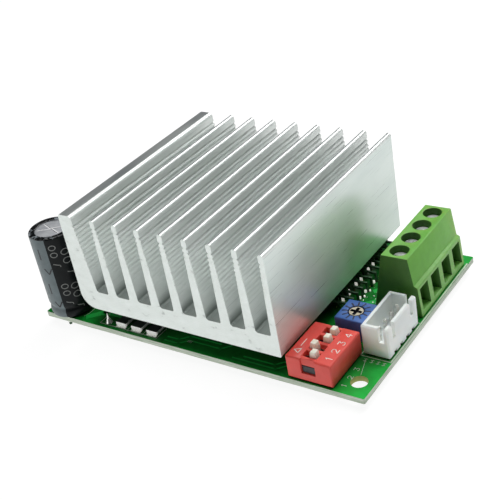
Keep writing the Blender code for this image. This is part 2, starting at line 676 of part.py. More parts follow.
for side, pin_x in zip(("left", "right"), pin_xs):
    for number, way_y in enumerate(way_ys, 1):
        bm = bmesh.new()
        half = SWITCH_PIN_THICKNESS / 2
        wide = SWITCH_PIN_WIDTH / 2
        add_box(bm, (-half, -wide, LEAD_END), (half, wide, base_top - FIT_GAP))
        place(f"switch_pin_{side}_{number}", bm, TINNED, (pin_x, way_y, 0))
        drill(pin_x, way_y, SWITCH_PIN_WIDTH / 2 + PIN_GAP)

# ---- plug header ------------------------------------------------------------------------------
header_right = BOARD_LENGTH - HEADER_RIGHT_INSET
header_left = header_right - HEADER_WIDTH
header_back = HEADER_FRONT + HEADER_LENGTH
header_pin_x = header_right - HEADER_PIN_INSET
header_ys = [HEADER_FRONT + HEADER_END + index * HEADER_PITCH for index in range(HEADER_PINS)]
bm = bmesh.new()
add_box(
    bm,
    (header_left, HEADER_FRONT, SEAT_GAP),
    (header_right, header_back, HEADER_HEIGHT),
)
header = place("header_housing", bm, HEADER_WHITE)
soften(header, HEADER_BEVEL)
bm = bmesh.new()
add_box(
    bm,
    (header_left + HEADER_WALL, HEADER_FRONT + HEADER_WALL, HEADER_FLOOR),
    (header_right - HEADER_WALL, header_back - HEADER_WALL, HEADER_HEIGHT + MM),
)
cut(header, bm, "header_cavity")
bm = bmesh.new()
slot_high = header_right - HEADER_WALL
slot_low = slot_high - HEADER_SLOT
add_box(
    bm,
    (slot_low, HEADER_FRONT - MM, HEADER_SLOT_BOTTOM),
    (slot_high, header_back + MM, HEADER_HEIGHT + 2 * MM),
)
cut(header, bm, "header_end_slots")
bm = bmesh.new()
side_slots = (HEADER_FRONT + HEADER_SLOT_INSET, header_back - HEADER_SLOT_INSET - HEADER_SLOT)
for slot_front in side_slots:
    low = (slot_low, slot_front, HEADER_SLOT_BOTTOM)
    high = (header_right + MM, slot_front + HEADER_SLOT, HEADER_HEIGHT + 2 * MM)
    add_box(bm, low, high)
cut(header, bm, "header_side_slots")
bm = bmesh.new()
for pin_y in header_ys:
    half = HEADER_NOTCH_WIDTH / 2
    low = (header_right - 2 * HEADER_WALL, pin_y - half, -MM)
    add_box(bm, low, (header_right + MM, pin_y + half, HEADER_NOTCH_HEIGHT))
cut(header, bm, "header_foot_notches")
bm = bmesh.new()
for pin_y in header_ys:
    add_rod(bm, header_pin_x, pin_y, -MM, HEADER_FLOOR + MM, HEADER_PIN / 2 + PIN_GAP, 4)
cut(header, bm, "header_pin_holes")
for number, pin_y in enumerate(header_ys, 1):
    bm = bmesh.new()
    add_rod(bm, 0, 0, LEAD_END, HEADER_PIN_TOP, HEADER_PIN / 2, 4)
    tips = [face for face in bm.faces if face.normal.z and face.calc_center_median().z > 0]
    bmesh.ops.inset_region(bm, faces=tips, thickness=HEADER_PIN_TAPER, depth=0)
    for face in tips:
        bmesh.ops.translate(bm, verts=face.verts, vec=(0, 0, HEADER_PIN_TIP))
    place(f"header_pin_{number}", bm, TINNED, (header_pin_x, pin_y, 0))
    drill(header_pin_x, pin_y, HEADER_PIN / 2 + PIN_GAP)


# ---- screw terminals --------------------------------------------------------------------------
def terminal_block(name, ways, foot_x, middle_y, turn):
    """One block. Drawn with its wire windows facing +X and the back of its foot at X = 0."""
    rows = [(index - (ways - 1) / 2) * TERMINAL_PITCH for index in range(ways)]
    half_length = ways * TERMINAL_PITCH / 2 + TERMINAL_END
    at = (foot_x, middle_y, 0)
    spin = Matrix.Rotation(turn, 3, "Z")
    nose_top = TERMINAL_DEPTH - TERMINAL_NOSE_DRAFT
    outline = [
        (0, SEAT_GAP),
        (TERMINAL_DEPTH, SEAT_GAP),
        (nose_top, TERMINAL_LEDGE_HEIGHT),
        (nose_top - TERMINAL_LEDGE, TERMINAL_LEDGE_HEIGHT + TERMINAL_LEDGE_RISE),
        (TERMINAL_TOP_BACK + TERMINAL_TOP, TERMINAL_HEIGHT),
        (TERMINAL_TOP_BACK, TERMINAL_HEIGHT),
    ]
    bm = bmesh.new()
    extrude_outline(bm, outline, 1, -half_length, half_length)
    housing = place(f"{name}_housing", bm, TERMINAL_GREEN, at, turn)

    cutters = {kind: bmesh.new() for kind in ("wells", "bores", "cells", "windows")}
    for row in rows:
        top = TERMINAL_HEIGHT + MM
        add_rod(cutters["wells"], WELL_CENTRE, row, WELL_SEAT, top, WELL_RADIUS, 20)
        bore = CLAMP_SCREW_RADIUS + FIT_GAP
        add_rod(cutters["bores"], WELL_CENTRE, row, CELL_TOP - MM, WELL_SEAT + MM, bore, 12)
        low = (CELL_BACK, row - CELL_HALF, -MM)
        add_box(cutters["cells"], low, (CELL_FRONT, row + CELL_HALF, CELL_TOP))
        low = (CELL_FRONT - MM, row - WIRE_HALF, WIRE_BOTTOM)
        add_box(cutters["windows"], low, (TERMINAL_DEPTH + MM, row + WIRE_HALF, WIRE_TOP))
    for kind, shape in cutters.items():
        cut(housing, shape, f"{name}_{kind}")

    strip_low = CELL_BACK + FIT_GAP
    strip_high = strip_low + BLADE_THICKNESS
    cage_low = strip_high + FIT_GAP
    cage_high = CELL_FRONT - FIT_GAP
    cage_bottom = WIRE_BOTTOM
    cage_inside = cage_bottom + CAGE_PLATE
    blade_top = BLADE_HEIGHT + BLADE_THICKNESS
    screw_end = blade_top + FIT_GAP
    cage_top = screw_end + 2 * CAGE_PLATE
    head_low = WELL_SEAT + FIT_GAP
    head_high = head_low + CLAMP_HEAD_HEIGHT
    for number, row in enumerate(rows, 1):
        centre = Vector(at) + spin @ Vector((WELL_CENTRE, row, 0))
        bm = bmesh.new()
        add_turned(
            bm,
            [
                (0, screw_end),
                (CLAMP_SCREW_RADIUS, screw_end),
                (CLAMP_SCREW_RADIUS, head_low),
                (CLAMP_HEAD_RADIUS, head_low),
                (CLAMP_HEAD_RADIUS, head_high - CLAMP_HEAD_ROUND),
                (CLAMP_HEAD_RADIUS - CLAMP_HEAD_ROUND, head_high),
                (0, head_high),
            ],
            16,
        )
        screw = place(f"{name}_screw_{number}", bm, STEEL, centre, turn, smooth=True)
        bm = bmesh.new()
        reach = 2 * CLAMP_HEAD_RADIUS
        half_slot = CLAMP_SLOT_WIDTH / 2
        floor = head_high - CLAMP_SLOT_DEPTH
        add_box(bm, (-reach, -half_slot, floor), (reach, half_slot, head_high + MM))
        cut(screw, bm, f"{name}_screw_slot_{number}")

        bm = bmesh.new()
        low_x = cage_low - WELL_CENTRE
        high_x = cage_high - WELL_CENTRE
        add_box(bm, (low_x, -CAGE_HALF, cage_bottom), (high_x, CAGE_HALF, cage_top))
        cage = place(f"{name}_cage_{number}", bm, STEEL, centre, turn)
        bm = bmesh.new()
        inner = CAGE_HALF - CAGE_WALL
        add_box(bm, (low_x - MM, -inner, cage_inside), (high_x + MM, inner, cage_top - CAGE_PLATE))
        cut(cage, bm, f"{name}_cage_opening_{number}")
        bm = bmesh.new()
        bore = CLAMP_SCREW_RADIUS + PIN_GAP
        add_rod(bm, 0, 0, cage_top - 1.5 * CAGE_PLATE, cage_top + MM, bore, 12)
        cut(cage, bm, f"{name}_cage_thread_{number}")

        root = Vector(at) + spin @ Vector((0, row, 0))
        blade_end = cage_high - 2 * FIT_GAP
        bend = [
            (strip_low, LEAD_END), (strip_high, LEAD_END), (strip_high, BLADE_HEIGHT),
            (blade_end, BLADE_HEIGHT), (blade_end, blade_top), (strip_low, blade_top),
        ]
        bm = bmesh.new()
        extrude_outline(bm, bend, 1, -BLADE_HALF, BLADE_HALF)
        place(f"{name}_blade_{number}", bm, TINNED, root, turn)
        hole = root + spin @ Vector(((strip_low + strip_high) / 2, 0, 0))
        drill(hole.x, hole.y, BLADE_HALF + PIN_GAP)


output_middle = OUTPUT_FRONT + OUTPUT_LENGTH / 2
output_foot = BOARD_LENGTH - TERMINAL_EDGE_INSET - TERMINAL_DEPTH
terminal_block("output", OUTPUT_WAYS, output_foot, output_middle, 0.0)
power_foot = TERMINAL_EDGE_INSET + TERMINAL_DEPTH
terminal_block("power", POWER_WAYS, power_foot, POWER_MIDDLE, math.pi)

# ---- trimmer ----------------------------------------------------------------------------------
trimmer_right = header_left - TRIMMER_HEADER_GAP
trimmer_x = trimmer_right - TRIMMER_SIDE / 2
trimmer_y = switch_back + TRIMMER_SWITCH_GAP + TRIMMER_SIDE / 2
trimmer_at = (trimmer_x, trimmer_y, 0)
half = TRIMMER_SIDE / 2
rotor_top = TRIMMER_HEIGHT - ROTOR_SUNK
rotor_low = rotor_top - ROTOR_HEIGHT
stem_low = rotor_low - ROTOR_STEM
bm = bmesh.new()
add_box(bm, (-half, -half, SEAT_GAP), (half, half, TRIMMER_HEIGHT))
trimmer_body = place("trimmer_body", bm, TRIMMER_BLUE, trimmer_at)
soften(trimmer_body, TRIMMER_BEVEL)
bm = bmesh.new()
add_rod(bm, 0, 0, rotor_low - FIT_GAP, TRIMMER_HEIGHT + MM, ROTOR_RADIUS + FIT_GAP, 24)
cut(trimmer_body, bm, "trimmer_well")
bm = bmesh.new()
add_rod(bm, 0, 0, stem_low - FIT_GAP, rotor_low + FIT_GAP, ROTOR_STEM_RADIUS + FIT_GAP, 16)
cut(trimmer_body, bm, "trimmer_bearing")

bm = bmesh.new()
add_turned(
    bm,
    [
        (0, stem_low),
        (ROTOR_STEM_RADIUS, stem_low),
        (ROTOR_STEM_RADIUS, rotor_low),
        (ROTOR_RADIUS, rotor_low),
        (ROTOR_RADIUS, rotor_top),
        (0, rotor_top),
    ],
    24,
)
rotor = place("trimmer_rotor", bm, ROTOR_CREAM, trimmer_at, smooth=True)
bm = bmesh.new()
cross = plus_outline(ROTOR_SLOT_LENGTH, ROTOR_SLOT_WIDTH)
extrude_outline(bm, cross, 2, rotor_top - ROTOR_SLOT_DEPTH, rotor_top + MM)
cut(rotor, bm, "rotor_cross_slot")

pin_spots = (
    (-TRIMMER_PIN_SPREAD, -TRIMMER_PIN_SPREAD),
    (TRIMMER_PIN_SPREAD, -TRIMMER_PIN_SPREAD),
    (0, TRIMMER_PIN_SPREAD),
)
bm = bmesh.new()
for x, y in pin_spots:
    add_rod(bm, x, y, 0, TRIMMER_SOCKET + FIT_GAP, TRIMMER_PIN / 2 + PIN_GAP, 4)
cut(trimmer_body, bm, "trimmer_pin_sockets")
for number, (x, y) in enumerate(pin_spots, 1):
    bm = bmesh.new()
    add_rod(bm, 0, 0, LEAD_END, TRIMMER_SOCKET, TRIMMER_PIN / 2, 4)
    place(f"trimmer_pin_{number}", bm, TINNED, (trimmer_x + x, trimmer_y + y, 0))
    drill(trimmer_x + x, trimmer_y + y, TRIMMER_PIN / 2 + PIN_GAP)

# ---- current-sense resistors ------------------------------------------------------------------
for number in range(1, RESISTORS + 1):
    centre_x = LEFT_STRIP + RESISTOR_FIRST + (number - 1) * RESISTOR_PITCH
    bm = bmesh.new()
    add_box(
        bm,
        (-RESISTOR_WIDTH / 2, 0, SEAT_GAP),
        (RESISTOR_WIDTH / 2, RESISTOR_LENGTH, RESISTOR_HEIGHT),
    )
    place(f"sense_resistor_{number}", bm, RESISTOR_BLACK, (centre_x, RESISTOR_FRONT, 0))

# ---- board ------------------------------------------------------------------------------------
corner = BOARD_CORNER_RADIUS
outline = arc((corner, corner), corner, 180, 270, 3)
outline += arc((BOARD_LENGTH - corner, corner), corner, 270, 360, 3)
outline += arc((BOARD_LENGTH - corner, BOARD_DEPTH - corner), corner, 0, 90, 3)
outline += arc((corner, BOARD_DEPTH - corner), corner, 90, 180, 3)
bm = bmesh.new()
extrude_outline(bm, outline, 2, -BOARD_THICKNESS, 0)
circuit_board = place("circuit_board", bm, BOARD_GREEN)
drill(BOARD_LENGTH - MOUNT_HOLE_INSET_X, MOUNT_HOLE_INSET_Y, MOUNT_HOLE_RADIUS, 32)
bm = bmesh.new()
for x, y, radius, sides in drillings:
    add_rod(bm, x, y, -BOARD_THICKNESS - MM, MM, radius, sides)
cut(circuit_board, bm, "board_drillings")
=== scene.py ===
"""Looks for a stepper driver module: a green circuit board with a finned aluminium heat sink, a
reservoir capacitor, a slide switch, a plug header, a trimmer and two screw terminal blocks."""

import math
import random

import bmesh
import bpy
from mathutils import Matrix, Vector


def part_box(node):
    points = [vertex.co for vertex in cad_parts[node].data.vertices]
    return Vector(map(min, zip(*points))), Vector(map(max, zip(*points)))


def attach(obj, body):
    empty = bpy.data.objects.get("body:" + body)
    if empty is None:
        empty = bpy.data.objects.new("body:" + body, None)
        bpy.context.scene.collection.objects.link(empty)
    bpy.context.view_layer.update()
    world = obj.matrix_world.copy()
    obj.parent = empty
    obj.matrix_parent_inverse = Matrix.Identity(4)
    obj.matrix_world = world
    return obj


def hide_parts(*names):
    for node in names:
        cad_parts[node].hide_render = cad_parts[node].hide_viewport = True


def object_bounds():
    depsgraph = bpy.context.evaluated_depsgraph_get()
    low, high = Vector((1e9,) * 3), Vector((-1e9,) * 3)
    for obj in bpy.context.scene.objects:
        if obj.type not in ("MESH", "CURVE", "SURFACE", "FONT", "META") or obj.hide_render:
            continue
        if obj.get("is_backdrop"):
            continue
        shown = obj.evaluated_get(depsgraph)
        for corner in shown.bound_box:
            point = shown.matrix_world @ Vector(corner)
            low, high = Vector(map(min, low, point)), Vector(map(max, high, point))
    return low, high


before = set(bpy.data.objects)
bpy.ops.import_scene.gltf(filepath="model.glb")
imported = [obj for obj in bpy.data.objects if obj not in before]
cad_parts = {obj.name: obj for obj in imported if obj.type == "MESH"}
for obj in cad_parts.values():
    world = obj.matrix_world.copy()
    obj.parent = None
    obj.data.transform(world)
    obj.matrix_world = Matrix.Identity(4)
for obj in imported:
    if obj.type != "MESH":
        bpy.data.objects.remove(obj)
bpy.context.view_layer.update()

# ---- circuit board ------------------------------------------------------------------------------
# A glass-fibre board, 1.2 mm thick, with green solder mask over copper on both faces and bare
# sawn fibre at its edges. White marks are printed on it, and everything else is soldered to it.
MM = 0.001
board_low, board_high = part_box("circuit_board")


def on_board(x, y, z=0.0):
    """A place in millimetres from the board's front left corner, above its top face."""
    return Vector((board_low.x + x * MM, board_low.y + y * MM, board_high.z + z * MM))


def board_spot(node):
    """The middle of a node in those millimetres, with its lowest and highest height."""
    low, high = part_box(node)
    middle = ((low + high) / 2 - on_board(0, 0)) / MM
    return middle.x, middle.y, (low.z - board_high.z) / MM, (high.z - board_high.z) / MM


def node(tree, kind, settings=None, **inputs):
    """Adds a shader node. An input is a value or another node's output."""
    made = tree.nodes.new(kind)
    for key, value in (settings or {}).items():
        setattr(made, key, value)
    for key, value in inputs.items():
        socket = made.inputs[key.replace("_", " ")]
        if isinstance(value, bpy.types.NodeSocket):
            tree.links.new(value, socket)
        else:
            socket.default_value = value
    return made


def ramp(tree, factor, *stops):
    """Colours by a factor, each stop being (position, (r, g, b))."""
    made = node(tree, "ShaderNodeValToRGB", Fac=factor)
    for element, (position, colour) in zip(made.color_ramp.elements, (stops[0], stops[-1])):
        element.position = position
        element.color = (*colour, 1)
    for position, colour in stops[1:-1]:
        made.color_ramp.elements.new(position).color = (*colour, 1)
    return made.outputs["Color"]


def spread(tree, factor, low, high, start=0.3, end=0.7):
    """Stretches a factor from start..end to low..high."""
    values = {"From_Min": start, "From_Max": end, "To_Min": low, "To_Max": high}
    return node(tree, "ShaderNodeMapRange", Value=factor, **values).outputs["Result"]


def noise(tree, size, stretch=(1, 1, 1), detail=4.0):
    """Noise with features of about that many millimetres, drawn out by the stretch."""
    place = node(tree, "ShaderNodeTexCoord").outputs["Object"]
    scale = tuple(1 / (size * MM * share) for share in stretch)
    mapped = node(tree, "ShaderNodeMapping", Vector=place, Scale=scale).outputs["Vector"]
    return node(tree, "ShaderNodeTexNoise", Vector=mapped, Scale=1.0, Detail=detail).outputs["Fac"]


def multiplied(tree, colour, tint, share):
    """A colour times a tint, as far as the share goes. Tint and share may be values or outputs."""
    multiply = {"data_type": "RGBA", "blend_type": "MULTIPLY"}
    made = node(tree, "ShaderNodeMix", multiply, Factor=share)
    first, second = made.inputs[6], made.inputs[7]
    tree.links.new(colour, first)
    if isinstance(tint, bpy.types.NodeSocket):
        tree.links.new(tint, second)
    else:
        second.default_value = (*tint, 1)
    return made.outputs[2]


def shaded(tree, colour, reach, floor=0.12):
    """Deepens a colour with painted shade within that many millimetres of a corner."""
    near = node(tree, "ShaderNodeAmbientOcclusion", {"samples": 8}, Distance=reach * MM)
    corner_shade = spread(tree, near.outputs["AO"], floor, 1.0, 0.15, 0.85)
    return multiplied(tree, colour, corner_shade, 1.0)


def start_material(name, metallic=0.0, **constants):
    """A new material, its tree and its shader. What is the same all over sits on the shader."""
    made = bpy.data.materials.new(name)
    made.use_nodes = True
    shader = made.node_tree.nodes["Principled BSDF"]
    shader.inputs["Metallic"].default_value = metallic
    for key, value in constants.items():
        shader.inputs[key.replace("_", " ")].default_value = value
    return made, made.node_tree, shader


def relief(tree, shader, height, depth, strength=1.0):
    """Lets a factor raise the surface by that many millimetres."""
    bump = node(tree, "ShaderNodeBump", Height=height, Distance=depth * MM, Strength=strength)
    tree.links.new(bump.outputs["Normal"], shader.inputs["Normal"])


def grained(name, colour, roughness, metallic=0.0, grain=0.25, depth=0.004, shift=0.08, **more):
    """A finish whose colour and polish wander a little, with a fine grain in its surface."""
    made, tree, shader = start_material(name, metallic, **more)
    cloud = noise(tree, 2.5)
    darker = tuple(channel * (1 - shift) for channel in colour)
    lighter = tuple(min(1, channel * (1 + shift)) for channel in colour)
    tree.links.new(ramp(tree, cloud, (0.35, darker), (0.65, lighter)), shader.inputs["Base Color"])
    rough = spread(tree, noise(tree, 0.9), roughness * 0.8, roughness * 1.2)
    tree.links.new(rough, shader.inputs["Roughness"])
    relief(tree, shader, noise(tree, grain), depth)
    return made


def piece(name, bm, finishes, body="board_assembly", smooth=0):
    """Makes a shown object of a bmesh drawn in the frame. Smooth is an angle in degrees."""
    bmesh.ops.recalc_face_normals(bm, faces=bm.faces)
    mesh = bpy.data.meshes.new(name)
    bm.to_mesh(mesh)
    bm.free()
    for finish in finishes if isinstance(finishes, (list, tuple)) else [finishes]:
        mesh.materials.append(finish)
    if smooth:
        mesh.shade_smooth()
        mesh.set_sharp_from_angle(angle=math.radians(smooth))
    thing = bpy.data.objects.new(name, mesh)
    bpy.context.scene.collection.objects.link(thing)
    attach(thing, body)
    return thing


def prism(bm, outline, low, high, index=0):
    """A closed prism standing on the board, its outline and heights in board millimetres."""
    rings = [[bm.verts.new(on_board(x, y, z)) for x, y in outline] for z in (low, high)]
    faces = [bm.faces.new(rings[0][::-1]), bm.faces.new(rings[1])]
    for i in range(len(outline)):
        j = (i + 1) % len(outline)
        faces.append(bm.faces.new((rings[0][i], rings[0][j], rings[1][j], rings[1][i])))
    for face in faces:
        face.material_index = index


def line(bm, points, width, low, high):
    """A printed or copper line through those points of the board."""
    for start, end in zip(points, points[1:]):
        start, end = Vector(start), Vector(end)
        reach = (end - start).normalized() * width / 2
        side = Vector((-reach.y, reach.x))
        corners = [start - reach - side, end + reach - side, end + reach + side, start - reach + side]
        prism(bm, [tuple(corner) for corner in corners], low, high)


def ring_points(x, y, radius, start=0, end=360, steps=24):
    """Points round a circle, in degrees, both ends included."""
    turns = [math.radians(start + (end - start) * i / steps) for i in range(steps + 1)]
    return [(x + radius * math.cos(turn), y + radius * math.sin(turn)) for turn in turns]


def turned(bm, x, y, profile, sides=16, index=0):
    """Spins a (radius, height) profile about an upright axis, closing it where radius is 0."""
    rings = []
    for radius, height in profile:
        if radius == 0:
            rings.append([bm.verts.new(on_board(x, y, height))])
        else:
            spots = ring_points(x, y, radius, 0, 360, sides)[:-1]
            rings.append([bm.verts.new(on_board(a, b, height)) for a, b in spots])
    for lower, upper in zip(rings, rings[1:]):
        for i in range(sides):
            j = (i + 1) % sides
            corners = [lower[i % len(lower)], lower[j % len(lower)]]
            corners += [upper[j % len(upper)], upper[i % len(upper)]]
            unique = list(dict.fromkeys(corners))
            if len(unique) > 2:
                bm.faces.new(unique).material_index = index


mask, tree, shader = start_material("solder_mask", Specular_IOR_Level=0.22)
weave = noise(tree, 0.5)
pour = ramp(tree, noise(tree, 5.0), (0.40, (0.006, 0.36, 0.035)), (0.60, (0.010, 0.50, 0.055)))
# The mask is darkened near tall parts and corners: painted shade.
tree.links.new(shaded(tree, pour, 9.0), shader.inputs["Base Color"])
tree.links.new(spread(tree, weave, 0.32, 0.44), shader.inputs["Roughness"])
relief(tree, shader, weave, 0.006)

fibre, tree, shader = start_material("sawn_fibre")
layers = noise(tree, 1.0, (6, 6, 0.12))
resin, cloth, dust_and_shade = (0.30, 0.42, 0.26), (0.58, 0.66, 0.54), (0.80, 0.84, 0.76)
tone = ramp(tree, layers, (0.30, resin), (0.50, cloth), (0.70, dust_and_shade))
tree.links.new(tone, shader.inputs["Base Color"])
tree.links.new(spread(tree, layers, 0.55, 0.8), shader.inputs["Roughness"])
relief(tree, shader, layers, 0.03)

drilled = grained("drilled_fibre", (0.42, 0.46, 0.12), 0.6, 0.0, 0.2, 0.02, 0.2)
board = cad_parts["circuit_board"]
board.data.materials.clear()
board.data.materials.append(mask)
board.data.materials.append(fibre)
board.data.materials.append(drilled)
MASKED, SAWN, DRILLED = 0, 1, 2
EDGE_BAND = 0.7  # walls nearer the outline than this are the board's own edge
for polygon in board.data.polygons:
    spot = board.matrix_world @ polygon.center
    sides = (spot.x - board_low.x, board_high.x - spot.x, spot.y - board_low.y, board_high.y - spot.y)
    in_hole = min(sides) > EDGE_BAND * MM
    wall = DRILLED if in_hole else SAWN
    polygon.material_index = MASKED if abs(polygon.normal.z) > 0.5 else wall

copper = grained("masked_copper", (0.012, 0.50, 0.07), 0.36, 0.0, 0.3, 0.003, 0.06)
TRACK_TOP = 0.03
SIGNAL_TRACK, PLUG_TRACK, PHASE_TRACK, SENSE_TRACK, SUPPLY_TRACK = 0.4, 0.5, 1.3, 0.35, 1.6
GUARD_TRACK = 0.6
PLUG_PITCH, FIRST_PLUG_Y = 2.5, 14.05
PHASE_PITCH, FIRST_PHASE_Y = 5.08, 28.8
bm = bmesh.new()
for way in range(4):
    y = FIRST_PLUG_Y + PLUG_PITCH * way
    fan = (66.5 + way * 0.5, y + 1.7 + 4.4 - way * 0.5)
    line(bm, [(76.9, y), (72.6, y), (70.9, y + 1.7), fan], PLUG_TRACK, 0, TRACK_TOP)
    row = FIRST_PHASE_Y + PHASE_PITCH * way
    line(bm, [(71.5, row), (68.4, row), (66.2, row - 2.2)], PHASE_TRACK, 0, TRACK_TOP)
    line(bm, [(71.5, row + 1.6), (69.0, row + 1.6), (67.4, row)], SENSE_TRACK, 0, TRACK_TOP)
line(bm, [(1.0, 12.0), (1.0, 49.0), (12.0, 49.0)], GUARD_TRACK, 0, TRACK_TOP)
line(bm, [(11.2, 2.0), (14.0, 4.8), (19.0, 4.8)], SUPPLY_TRACK, 0, TRACK_TOP)
for route in (
    [(33.0, 1.2), (36.5, 1.2), (38.2, 2.9), (46.0, 2.9), (47.6, 4.5)],
    [(33.0, 2.4), (35.8, 2.4), (37.6, 4.2), (45.2, 4.2)],
    [(50.0, 1.5), (60.0, 1.5), (61.5, 3.0)],
    [(52.0, 2.6), (59.2, 2.6), (60.8, 4.2)],
):
    line(bm, route, SIGNAL_TRACK, 0, TRACK_TOP)
piece("board_tracks", bm, copper)

ink = grained("white_ink", (0.62, 0.72, 0.58), 0.6, 0.0, 0.12, 0.003, 0.15)
INK_TOP = 0.05
POINTER_INK, FINE_INK, OUTLINE_INK, BOLD_INK = 0.07, 0.09, 0.10, 0.12
HEADER_INK, EDGE_INK = 0.14, 0.32
CAN_RING = 5.25
bm = bmesh.new()
can_x, can_y = board_spot("capacitor_sleeve")[:2]
line(bm, ring_points(can_x, can_y, CAN_RING, -24, 118, 30), BOLD_INK, 0, INK_TOP)
line(bm, [(15.2, 4.4), (15.2, 1.0), (30.95, 1.0), (30.95, 4.4)], OUTLINE_INK, 0, INK_TOP)
for x in (22.95, 27.15):
    line(bm, [(x, 0.9), (x, 5.6)], OUTLINE_INK, 0, INK_TOP)
header_frame = [(79.75, 11.25), (73.35, 11.25), (73.35, 24.4), (79.75, 24.4)]
line(bm, header_frame, HEADER_INK, 0, INK_TOP)
line(bm, [(79.77, 11.25), (79.77, 47.0)], EDGE_INK, 0, INK_TOP)
line(bm, [(74.9, 10.4), (76.2, 5.9)], POINTER_INK, 0, INK_TOP)
for x in (74.9, 76.3, 77.6, 78.8):
    line(bm, [(x - 0.3, 9.9), (x + 0.3, 10.0)], FINE_INK, 0, INK_TOP)
    line(bm, [(x - 0.3, 10.5), (x + 0.3, 10.6)], FINE_INK, 0, INK_TOP)
    line(bm, [(x, 9.8), (x + 0.05, 10.7)], FINE_INK, 0, INK_TOP)
# Strokes of the numbers 1 to 4, as (across, up) shares of a number's height. On the board they are
# 1 mm high.
DIGITS = (
    [(0.3, 0.78), (0.5, 1.0), (0.5, 0.0)],
    [(0.0, 0.8), (0.15, 1.0), (0.6, 1.0), (0.75, 0.8), (0.75, 0.6), (0.0, 0.0), (0.8, 0.0)],
    [
        (0.0, 1.0), (0.7, 1.0), (0.35, 0.6), (0.7, 0.45),
        (0.7, 0.15), (0.5, 0.0), (0.15, 0.0), (0.0, 0.12),
    ],
    [(0.55, 0.0), (0.55, 1.0), (0.0, 0.3), (0.8, 0.3)],
)
BOARD_NUMBER_LINE = 75.2
for strokes, y in zip(DIGITS, (1.6, 4.2, 6.8)):
    number = [(BOARD_NUMBER_LINE - up, y + across) for across, up in strokes]
    line(bm, number, OUTLINE_INK, 0, INK_TOP)
for step in range(4):
    line(bm, [(38.0 + 0.3 * step, 2.4), (38.1 + 0.3 * step, 2.9)], BOLD_INK, 0, INK_TOP)
piece("board_print", bm, ink)

tin = grained("solder", (0.92, 0.92, 0.89), 0.24, 0.75, 0.2, 0.006, 0.06)
UNDERSIDE = (board_low.z - board_high.z) / MM
joints = []
for sign in ("minus", "plus"):
    joints.append((*board_spot(f"capacitor_lead_{sign}")[:2], 0.55))
for way in range(1, 5):
    for side in ("left", "right"):
        joints.append((*board_spot(f"switch_pin_{side}_{way}")[:2], 0.42))
    joints.append((*board_spot(f"header_pin_{way}")[:2], 0.5))
for pin in range(1, 4):
    joints.append((*board_spot(f"trimmer_pin_{pin}")[:2], 0.45))
CHIP_LEAD_ROWS = (64.5, 61.4)
CHIP_LEADS, FIRST_LEAD_Y, LEAD_PITCH = 25, 23.0, 1.0
for lead in range(CHIP_LEADS):
    joints.append((CHIP_LEAD_ROWS[lead % 2], FIRST_LEAD_Y + LEAD_PITCH * lead, 0.36))
# Under the board, a fillet of solder climbs each trimmed lead and rounds over its end.
FILLET = ((0.42, 0.0), (0.42, 0.04), (0.25, 0.22), (0.08, 0.55), (-0.02, 1.05))
FILLET_END = 1.1
bm = bmesh.new()
for x, y, core in joints:
    fillet = [(core + past, UNDERSIDE - down) for past, down in FILLET]
    turned(bm, x, y, [(0, UNDERSIDE)] + fillet + [(0, UNDERSIDE - FILLET_END)])
piece("solder_joints", bm, tin, smooth=60)

# Crowns of solder, as (x, y, radius, height), stand where some chip leads enter the board. They glow a
# little: painted glints.
LEAD_CROWNS = [(61.4, y, 0.30, 1.3) for y in (26.0, 28.6, 31.8, 34.0, 37.4, 39.6)]
LEAD_CROWNS += [(64.3, 28.0, 0.26, 0.6), (64.9, 28.9, 0.2, 0.4), (64.3, 30.5, 0.28, 0.6)]
LEAD_CROWNS += [(65.0, 31.2, 0.18, 0.4), (64.3, 34.2, 0.30, 0.6), (64.6, 36.9, 0.2, 0.5)]
glinting_tin = grained("solder_painted_glint", (0.95, 0.96, 0.92), 0.3, 0.2, 0.3, 0.02, 0.04, Emission_Strength=0.45)
glinting_tin.node_tree.nodes["Principled BSDF"].inputs["Emission Color"].default_value = (1, 0.98, 0.92, 1)
bm = bmesh.new()
for x, y, radius, height in LEAD_CROWNS:
    shape = [(0, 0), (radius, 0), (radius, height * 0.7), (radius * 0.8, height * 0.9), (0, height)]
    turned(bm, x, y, shape, 12)
piece("lead_crowns", bm, glinting_tin, smooth=60)

# Tinned vias fill the strip between the chip's leads and the output terminal.
VIA_COLUMNS, VIA_ROWS = 5, 20
VIA_LEFT, VIA_FRONT = 65.3, 22.2
VIA_PITCH_X, VIA_PITCH_Y = 1.0, 1.3
VIA_RADII = (0.10, 0.14, 0.20)
VIA_SHARE = 0.62
bm = bmesh.new()
dots = random.Random(4)
for column in range(VIA_COLUMNS):
    for row in range(VIA_ROWS):
        x = VIA_LEFT + column * VIA_PITCH_X + dots.uniform(-0.3, 0.3)
        y = VIA_FRONT + row * VIA_PITCH_Y + dots.uniform(-0.4, 0.4)
        if dots.random() < VIA_SHARE:
            radius = dots.choice(VIA_RADII)
            turned(bm, x, y, [(0, 0), (radius, 0), (radius * 0.8, 0.07), (0, 0.09)], 10)
piece("tinned_vias", bm, tin, smooth=60)

# ---- heat sink ----------------------------------------------------------------------------------
# A sawn length of extruded aluminium with eight drafted fins and one thick outer fin. Each fin's
# sides carry fine ribs along their upper part. Two screws from below hold it down on the chip.
sink_low, sink_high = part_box("heat_sink")
SINK_WIDTH = (sink_high.x - sink_low.x) / MM
SINK_HEIGHT = (sink_high.z - sink_low.z) / MM
SINK_BASE = 4.65
SINK_CORNER = 3.4
FOOT_ROUND = 0.3
FIN_PITCH = 5.75
FIN_TIP = 0.6
FIN_COUNT = 8
DRAFT_LEFT, DRAFT_RIGHT = 0.3, 0.8
THICK_TOP, THICK_ROOT = 3.55, 5.1
THICK_ROUND, THICK_EDGE = 1.0, 0.5
RIB_BAND = 1.1
RIB_PITCH = 1.0
RIB_DEPTH = 0.34
RIB_FADE = 0.80
RIBS = 12
